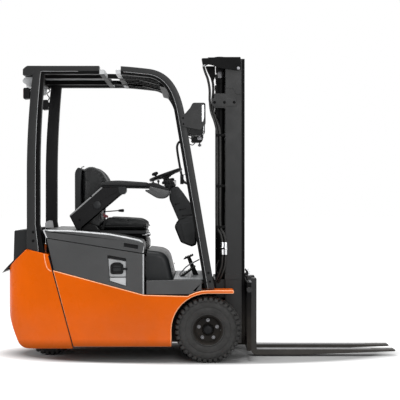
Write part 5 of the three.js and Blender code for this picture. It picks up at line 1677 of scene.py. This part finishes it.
def chain_wrap(y):
    """The chain's half turn over its sheave."""
    rings = []
    for i in range(WRAP_STEPS + 1):
        angle = math.pi * i / WRAP_STEPS
        half = 7.5 if i % 4 in (0, 1) else 5.5
        ring = []
        for r, side in (
            (SHEAVE_RADIUS - half, -10), (SHEAVE_RADIUS + half, -10), (SHEAVE_RADIUS + half, 10),
            (SHEAVE_RADIUS - half, 10),
        ):
            ring.append((SHEAVE[0] - r * math.cos(angle), y + side, SHEAVE[1] + r * math.sin(angle)))
        rings.append(ring)
    return loft(rings)


def make_chains():
    x, z = SHEAVE
    for side, sign in SIDES:
        y = sign * CHAIN_Y
        behind, ahead = x - SHEAVE_RADIUS, x + SHEAVE_RADIUS
        rear = ("mast_outer", "mast_inner", (behind, y, 1850), (behind, y, 2010))
        front = ("mast_inner", "carriage", (ahead, y, 2010), (ahead, y, 430))
        finish_piece(f"chain_{side}_rear", chain_run(behind, 1826, z + 2, y), rear, DARK_STEEL)
        finish_piece(f"chain_{side}_wrap", chain_wrap(y), "mast_inner", DARK_STEEL)
        finish_piece(f"chain_{side}_front", chain_run(ahead, z + 2, 392, y), front, DARK_STEEL)
        disc = spin([
            (0, -13), (48, -13), (48, -11), (37.5, -11), (37.5, 11), (48, 11), (48, 13), (0, 13),
        ], (x, y, z), "Y", 40)
        finish_piece(f"chain_sheave_{side}", disc, "mast_inner", BLACK, 0.6)
        pin = spin([(0, -24), (10, -24), (11, -22), (11, 22), (10, 24), (0, 24)], (x, y, z), "Y", 20)
        finish_piece(f"chain_sheave_pin_{side}", pin, "mast_inner", ZINC)
        plates = merge(*[block(x - 22, x + 10, y + o - 3, y + o + 3, z - 24, 2087) for o in (-18, 18)])
        finish_piece(f"chain_sheave_bracket_{side}", plates, "mast_inner", BLACK, 1.5)
        anchor = merge(block(54, 118, y - 14, y + 14, 1800, 1812), block(92, 118, y - 6, y + 6, 1812, 1846))
        rod = spin([(7, 1770), (7, 1812), (12, 1812), (12, 1824), (0, 1824)], (behind, y, 0), "Z", 14)
        nut = spin([(0, 1780), (12, 1780), (12, 1796), (0, 1796)], (behind, y, 0), "Z", 6)
        finish_piece(f"chain_anchor_{side}", anchor, "mast_outer", BLACK, 1.5)
        finish_piece(f"chain_anchor_rod_{side}", merge(rod, nut), "mast_outer", ZINC, 0.4)
        hook = merge(block(184, 272, y - 16, y + 16, 366, 380), block(186, 204, y - 7, y + 7, 378, 402))
        finish_piece(f"chain_hook_{side}", hook, "carriage", BLACK, 1.5)


def make_mast_details():
    plate = rounded([(30, 1788, 6), (30, 1840, 6), (204, 1842, 6), (204, 1786, 6)])
    both_sides(
        "mast_side_plate", side_shape(plate, -RAIL_Y - 4, -RAIL_Y + 1), "mast_outer", CHARCOAL, bevel=1.4,
    )
    cap = rounded([
        (126, 1914, 4), (126, 2112, 10), (236, 2112, 10), (236, 1870, 10), (200, 1870, 10), (176, 1914, 8),
    ])
    both_sides(
        "mast_top_plate", side_shape(cap, -RAIL_Y - 2.4, -RAIL_Y + 1), "mast_outer", CHARCOAL, bevel=1.2,
    )
    for i, (x, z) in enumerate(((48, 1814), (186, 1814), (118, 1814))):
        both_sides(f"mast_bolt_{i}", bolt((x, -RAIL_Y - 3, z), 7, height=6), "mast_outer", BLACK, bevel=0.5)
    band = rounded([
        (-36, 2074, 8), (-46, 2124, 12), (16, 2126, 20), (60, 2133, 20), (232, 2133, 8), (234, 2048, 14),
        (210, 2038, 14), (150, 2046, 40), (90, 2052, 40), (30, 2076, 30), (-18, 2082, 10),
    ], 5)
    finish_piece(
        "hose_guide_band", side_shape(band, -RAIL_Y - 14, -RAIL_Y - 6), "mast_inner", BLACK, 2.5, 3,
    )
    finish_piece("hose_guide_bridge", block(0, 214, -RAIL_Y - 8, -200, 2123, 2131), "mast_inner", BLACK, 2)
    finish_piece(
        "hose_guide_bolt", bolt((216, -RAIL_Y - 14, 2054), 7, height=6), "mast_inner", DARK_STEEL, 0.4,
    )
    stay = rounded([
        (-14, 2084, 4), (54, 2084, 4), (54, 2010, 6), (42, 1972, 8), (26, 1972, 6), (14, 2030, 12),
    ])
    finish_piece("hose_stay", side_shape(stay, -214, -205), "mast_inner", BLACK, 2)
    foot = rounded([(120, 560, 6), (120, 600, 8), (238, 600, 4), (238, 566, 4)])
    both_sides(
        "mast_foot_plate", side_shape(foot, -RAIL_Y - 3, -RAIL_Y + 1), "mast_outer", CHARCOAL, bevel=1.2,
    )
    wear = side_shape([(238.6, 560), (238.6, 1220), (240.6, 1220), (240.6, 560)], -RAIL_Y + 2, -RAIL_Y + 52)
    both_sides("mast_wear_strip", wear, "mast_outer", BLACK_PLASTIC, bevel=0.6)
    for z in (700, 1150, 1600, 2000):
        stop = block(124, 140, -RAIL_Y + 60, -RAIL_Y + 64, z - 30, z + 30)
        both_sides(f"mast_slide_pad_{z}", stop, "mast_outer", PALE_PLASTIC, bevel=1)
    for side, sign in SIDES:
        y = sign * LIFT_Y
        gland = spin([
            (22, 1952), (34, 1952), (36, 1956), (36, 1986), (33, 1993), (23, 1994), (22, 1994),
        ], (LIFT_X, y, 0), "Z", 36)
        finish_piece(f"lift_gland_{side}", gland, "mast_outer", BLACK, 0.8)
        rod = spin([(20.2, 440), (20.7, 442), (20.7, 2084), (20.2, 2085)], (LIFT_X, y, 0), "Z", 36)
        finish_piece(f"lift_rod_{side}", rod, "mast_inner", DARK_STEEL)
        nut = spin([(22, 2040), (34, 2040), (34, 2076), (22, 2076)], (LIFT_X, y, 0), "Z", 6)
        finish_piece(f"lift_rod_nut_{side}", nut, "mast_inner", BLACK, 1)
        foot = spin([(33, 374), (39, 376), (39, 402), (33, 406)], (LIFT_X, y, 0), "Z", 36)
        finish_piece(f"lift_foot_{side}", foot, "mast_outer", BLACK, 0.6)
        pipe = smooth_path([
            (60, sign * 214, 420), (52, sign * 190, 440), (52, sign * 120, 446), (54, sign * 10, 448),
        ])
        finish_piece(f"lift_pipe_{side}", tube(pipe, 6), "mast_outer", DARK_STEEL)
    end = rounded([(-36, 2082, 3), (-20, 2082, 3), (-14, 2104, 6), (-30, 2108, 6)])
    finish_piece("hose_guide_end", side_shape(end, -207, -148), "mast_inner", PALE_PLASTIC, 2)
    lip = [(x, -207, z) for x, z in ((-30, 2112), (60, 2147), (150, 2139), (228, 2094))]
    finish_piece("hose_guide_lip", tube(smooth_path(lip), 4, 8), "mast_inner", BLACK_PLASTIC)


make_hoses()
make_chains()
make_mast_details()


# ---------------------------------------------------------------- carriage and forks
FORK_Y = 140
NOTCH_STEP = 60


def make_carriage_details():
    notches = [block(290, 304.5, y - 6, y + 6, 541, 553.5) for y in range(-420, 421, NOTCH_STEP)]
    finish_piece("carriage_notches", merge(*notches), "carriage", DARK_STEEL, 0.8)
    for side, sign in SIDES:
        knob = spin([
            (0, sign * 466), (17, sign * 466), (20, sign * 463), (20, sign * 458), (0, sign * 458),
        ], (287, 0, 500), "Y", 28)
        finish_piece(f"carriage_end_cap_{side}", knob, "carriage", FORK_BLACK, 0.6)
        for z in (100, 136, 480, 530):
            finish_piece(
                f"carriage_bolt_{side}_{z}", bolt((287, sign * 459.5, z), 7, "Y", sign, 5), "carriage",
                BLACK, 0.4,
            )
        for z in (160, 470):
            roller = spin([
                (0, sign * 252), (30, sign * 252), (34, sign * 248), (34, sign * 222), (0, sign * 222),
            ], (205, 0, z), "Y", 36)
            finish_piece(f"carriage_roller_{side}_{z}", roller, "carriage", DARK_STEEL, 0.8)
        fork_y = sign * FORK_Y
        body = f"fork_arm_{side}"
        pin = spin([
            (0, 578), (9, 578), (9, 592), (14, 594), (15, 606), (11, 612), (0, 612),
        ], (296, fork_y, 0), "Z", 24)
        finish_piece(f"fork_latch_{side}", pin, body, ZINC, 0.6)
        wear = block(320, 1180, fork_y - 36, fork_y + 36, 49.6, 50.6)
        finish_piece(f"fork_wear_{side}", wear, body, DARK_STEEL)
        heel = block(351.6, 352.5, fork_y - 36, fork_y + 36, 80, 520)
        finish_piece(f"fork_face_wear_{side}", heel, body, FORK_BLACK)


make_carriage_details()


# ---------------------------------------------------------------- floor, pedals and small parts
def make_floor_details():
    studs = []
    for row in range(7):
        for column in range(14):
            x = -232 + row * 30
            y = -380 + column * 58 + (29 if row % 2 else 0)
            studs.append(spin([(9, 574.2), (8, 576), (0, 576)], (x, y, 0), "Z", 10))
    finish_piece("floor_mat_studs", merge(*studs), "chassis", MAT)
    mat = plan_shape(
        rounded([(-238, -470, 20), (-12, -470, 20), (-12, 470, 20), (-238, 470, 20)]), 573.5, 575,
    )
    finish_piece("floor_mat", mat, "chassis", MAT, 0.5)
    tilt = Matrix.Rotation(math.radians(-21), 4, "Y")
    ribs = [block(-30 + 13 * i, -24 + 13 * i, -36, 36, 0, 3) for i in range(5)]
    pad = moved(merge(*ribs), Matrix.Translation((-136, -30, 718)) @ tilt)
    finish_piece("brake_pedal_ribs", pad, "chassis", HOSE, 0.8)
    lift = Matrix.Rotation(math.radians(-35), 4, "Y")
    ribs = [block(-50 + 16 * i, -43 + 16 * i, -36, 36, 0, 3) for i in range(7)]
    pad = moved(merge(*ribs), Matrix.Translation((-154, -190, 611)) @ lift)
    finish_piece("accelerator_ribs", pad, "chassis", HOSE, 0.8)
    rod = tube(smooth_path([(-206, -70, 578), (-150, -66, 640), (-60, -60, 690)]), 5)
    finish_piece("brake_rod", rod, "chassis", DARK_STEEL)


make_floor_details()

# ---------------------------------------------------------------- stage and light
STAGE_REACH = 60
STAGE_ALBEDO = (0.72, 0.45)  # as other rays see the floor, and as the camera does: the lower camera value is painted shade
WORLD_STRENGTH = (0.42, 1.0)  # as light on the object, and as a background


def math_node(tree, operation):
    node = tree.nodes.new("ShaderNodeMath")
    node.operation = operation
    return node


def range_node(tree, low, high, start=0.0, end=1.0):
    node = tree.nodes.new("ShaderNodeMapRange")
    for key, number in (("From Min", start), ("From Max", end), ("To Min", low), ("To Max", high)):
        node.inputs[key].default_value = number
    return node


def make_stage():
    """White floor that keeps the object's shadow near it, darkened to the camera in an oval about the object as a
    painted shadow, and runs into the background further out.
    """
    mesh = bpy.data.meshes.new("stage_floor")
    r = STAGE_REACH
    mesh.from_pydata([(-r, -r, 0), (r, -r, 0), (r, r, 0), (-r, r, 0)], [], [(0, 1, 2, 3)])
    floor = bpy.data.objects.new("stage_floor", mesh)
    bpy.context.scene.collection.objects.link(floor)
    material = bpy.data.materials.new("stage_floor")
    material.use_nodes = True
    tree = material.node_tree
    tree.nodes.clear()
    output = tree.nodes.new("ShaderNodeOutputMaterial")
    diffuse = tree.nodes.new("ShaderNodeBsdfDiffuse")
    lift = tree.nodes.new("ShaderNodeEmission")
    add = tree.nodes.new("ShaderNodeAddShader")
    path = tree.nodes.new("ShaderNodeLightPath")
    coords = tree.nodes.new("ShaderNodeTexCoord")
    painted_shadow_oval = tree.nodes.new("ShaderNodeMapping")
    painted_shadow_oval.inputs["Scale"].default_value = (0.42, 1, 1)
    distance = tree.nodes.new("ShaderNodeVectorMath")
    distance.operation = "LENGTH"
    albedo = range_node(tree, *STAGE_ALBEDO)
    # Painted shadow: emission lifts the floor only outside the oval, so the camera sees it darker within.
    outside_painted_shadow = range_node(tree, 0.0, 0.9, 0.54, 0.66)
    seen = math_node(tree, "MAXIMUM")
    share = math_node(tree, "MULTIPLY")
    for start, end in (
        (path.outputs["Is Camera Ray"], seen.inputs[0]),
        (path.outputs["Is Glossy Ray"], seen.inputs[1]),
        (path.outputs["Is Camera Ray"], albedo.inputs["Value"]),
        (albedo.outputs[0], diffuse.inputs["Color"]),
        (coords.outputs["Object"], painted_shadow_oval.inputs["Vector"]),
        (painted_shadow_oval.outputs[0], distance.inputs[0]),
        (distance.outputs["Value"], outside_painted_shadow.inputs["Value"]),
        (outside_painted_shadow.outputs[0], share.inputs[0]),
        (seen.outputs[0], share.inputs[1]),
        (share.outputs[0], lift.inputs["Strength"]),
        (diffuse.outputs[0], add.inputs[0]),
        (lift.outputs[0], add.inputs[1]),
        (add.outputs[0], output.inputs["Surface"]),
    ):
        tree.links.new(start, end)
    mesh.materials.append(material)


def make_world():
    """Plain white light, with a white background for camera, glass and gloss."""
    world = bpy.data.worlds.new("studio")
    bpy.context.scene.world = world
    world.use_nodes = True
    tree = world.node_tree
    background = tree.nodes["Background"]
    background.inputs["Color"].default_value = (1, 1, 1, 1)
    path = tree.nodes.new("ShaderNodeLightPath")
    seen = math_node(tree, "MAXIMUM")
    either = math_node(tree, "MAXIMUM")
    strength = range_node(tree, *WORLD_STRENGTH)
    tree.links.new(path.outputs["Is Camera Ray"], seen.inputs[0])
    tree.links.new(path.outputs["Is Transmission Ray"], seen.inputs[1])
    tree.links.new(seen.outputs[0], either.inputs[0])
    tree.links.new(path.outputs["Is Glossy Ray"], either.inputs[1])
    tree.links.new(either.outputs[0], strength.inputs["Value"])
    tree.links.new(strength.outputs[0], background.inputs["Strength"])


def lamp(name, energy, location, aim, size):
    """Square area light, aimed at a point; all in metres of the frame."""
    data = bpy.data.lights.new(name, "AREA")
    data.energy = energy
    data.size = size
    light = bpy.data.objects.new(name, data)
    light.location = location
    direction = Vector(aim) - Vector(location)
    light.rotation_euler = direction.to_track_quat("-Z", "Y").to_euler()
    bpy.context.scene.collection.objects.link(light)


make_stage()
make_world()
lamp("overhead", 130, (-0.2, -0.9, 4.6), (0, 0, 0.4), 2.2)
lamp("key", 130, (1.2, -6.0, 2.6), (0, 0, 0.9), 3.0)
lamp("rear", 45, (-4.2, -1.2, 1.8), (-1.2, 0, 0.6), 1.4)
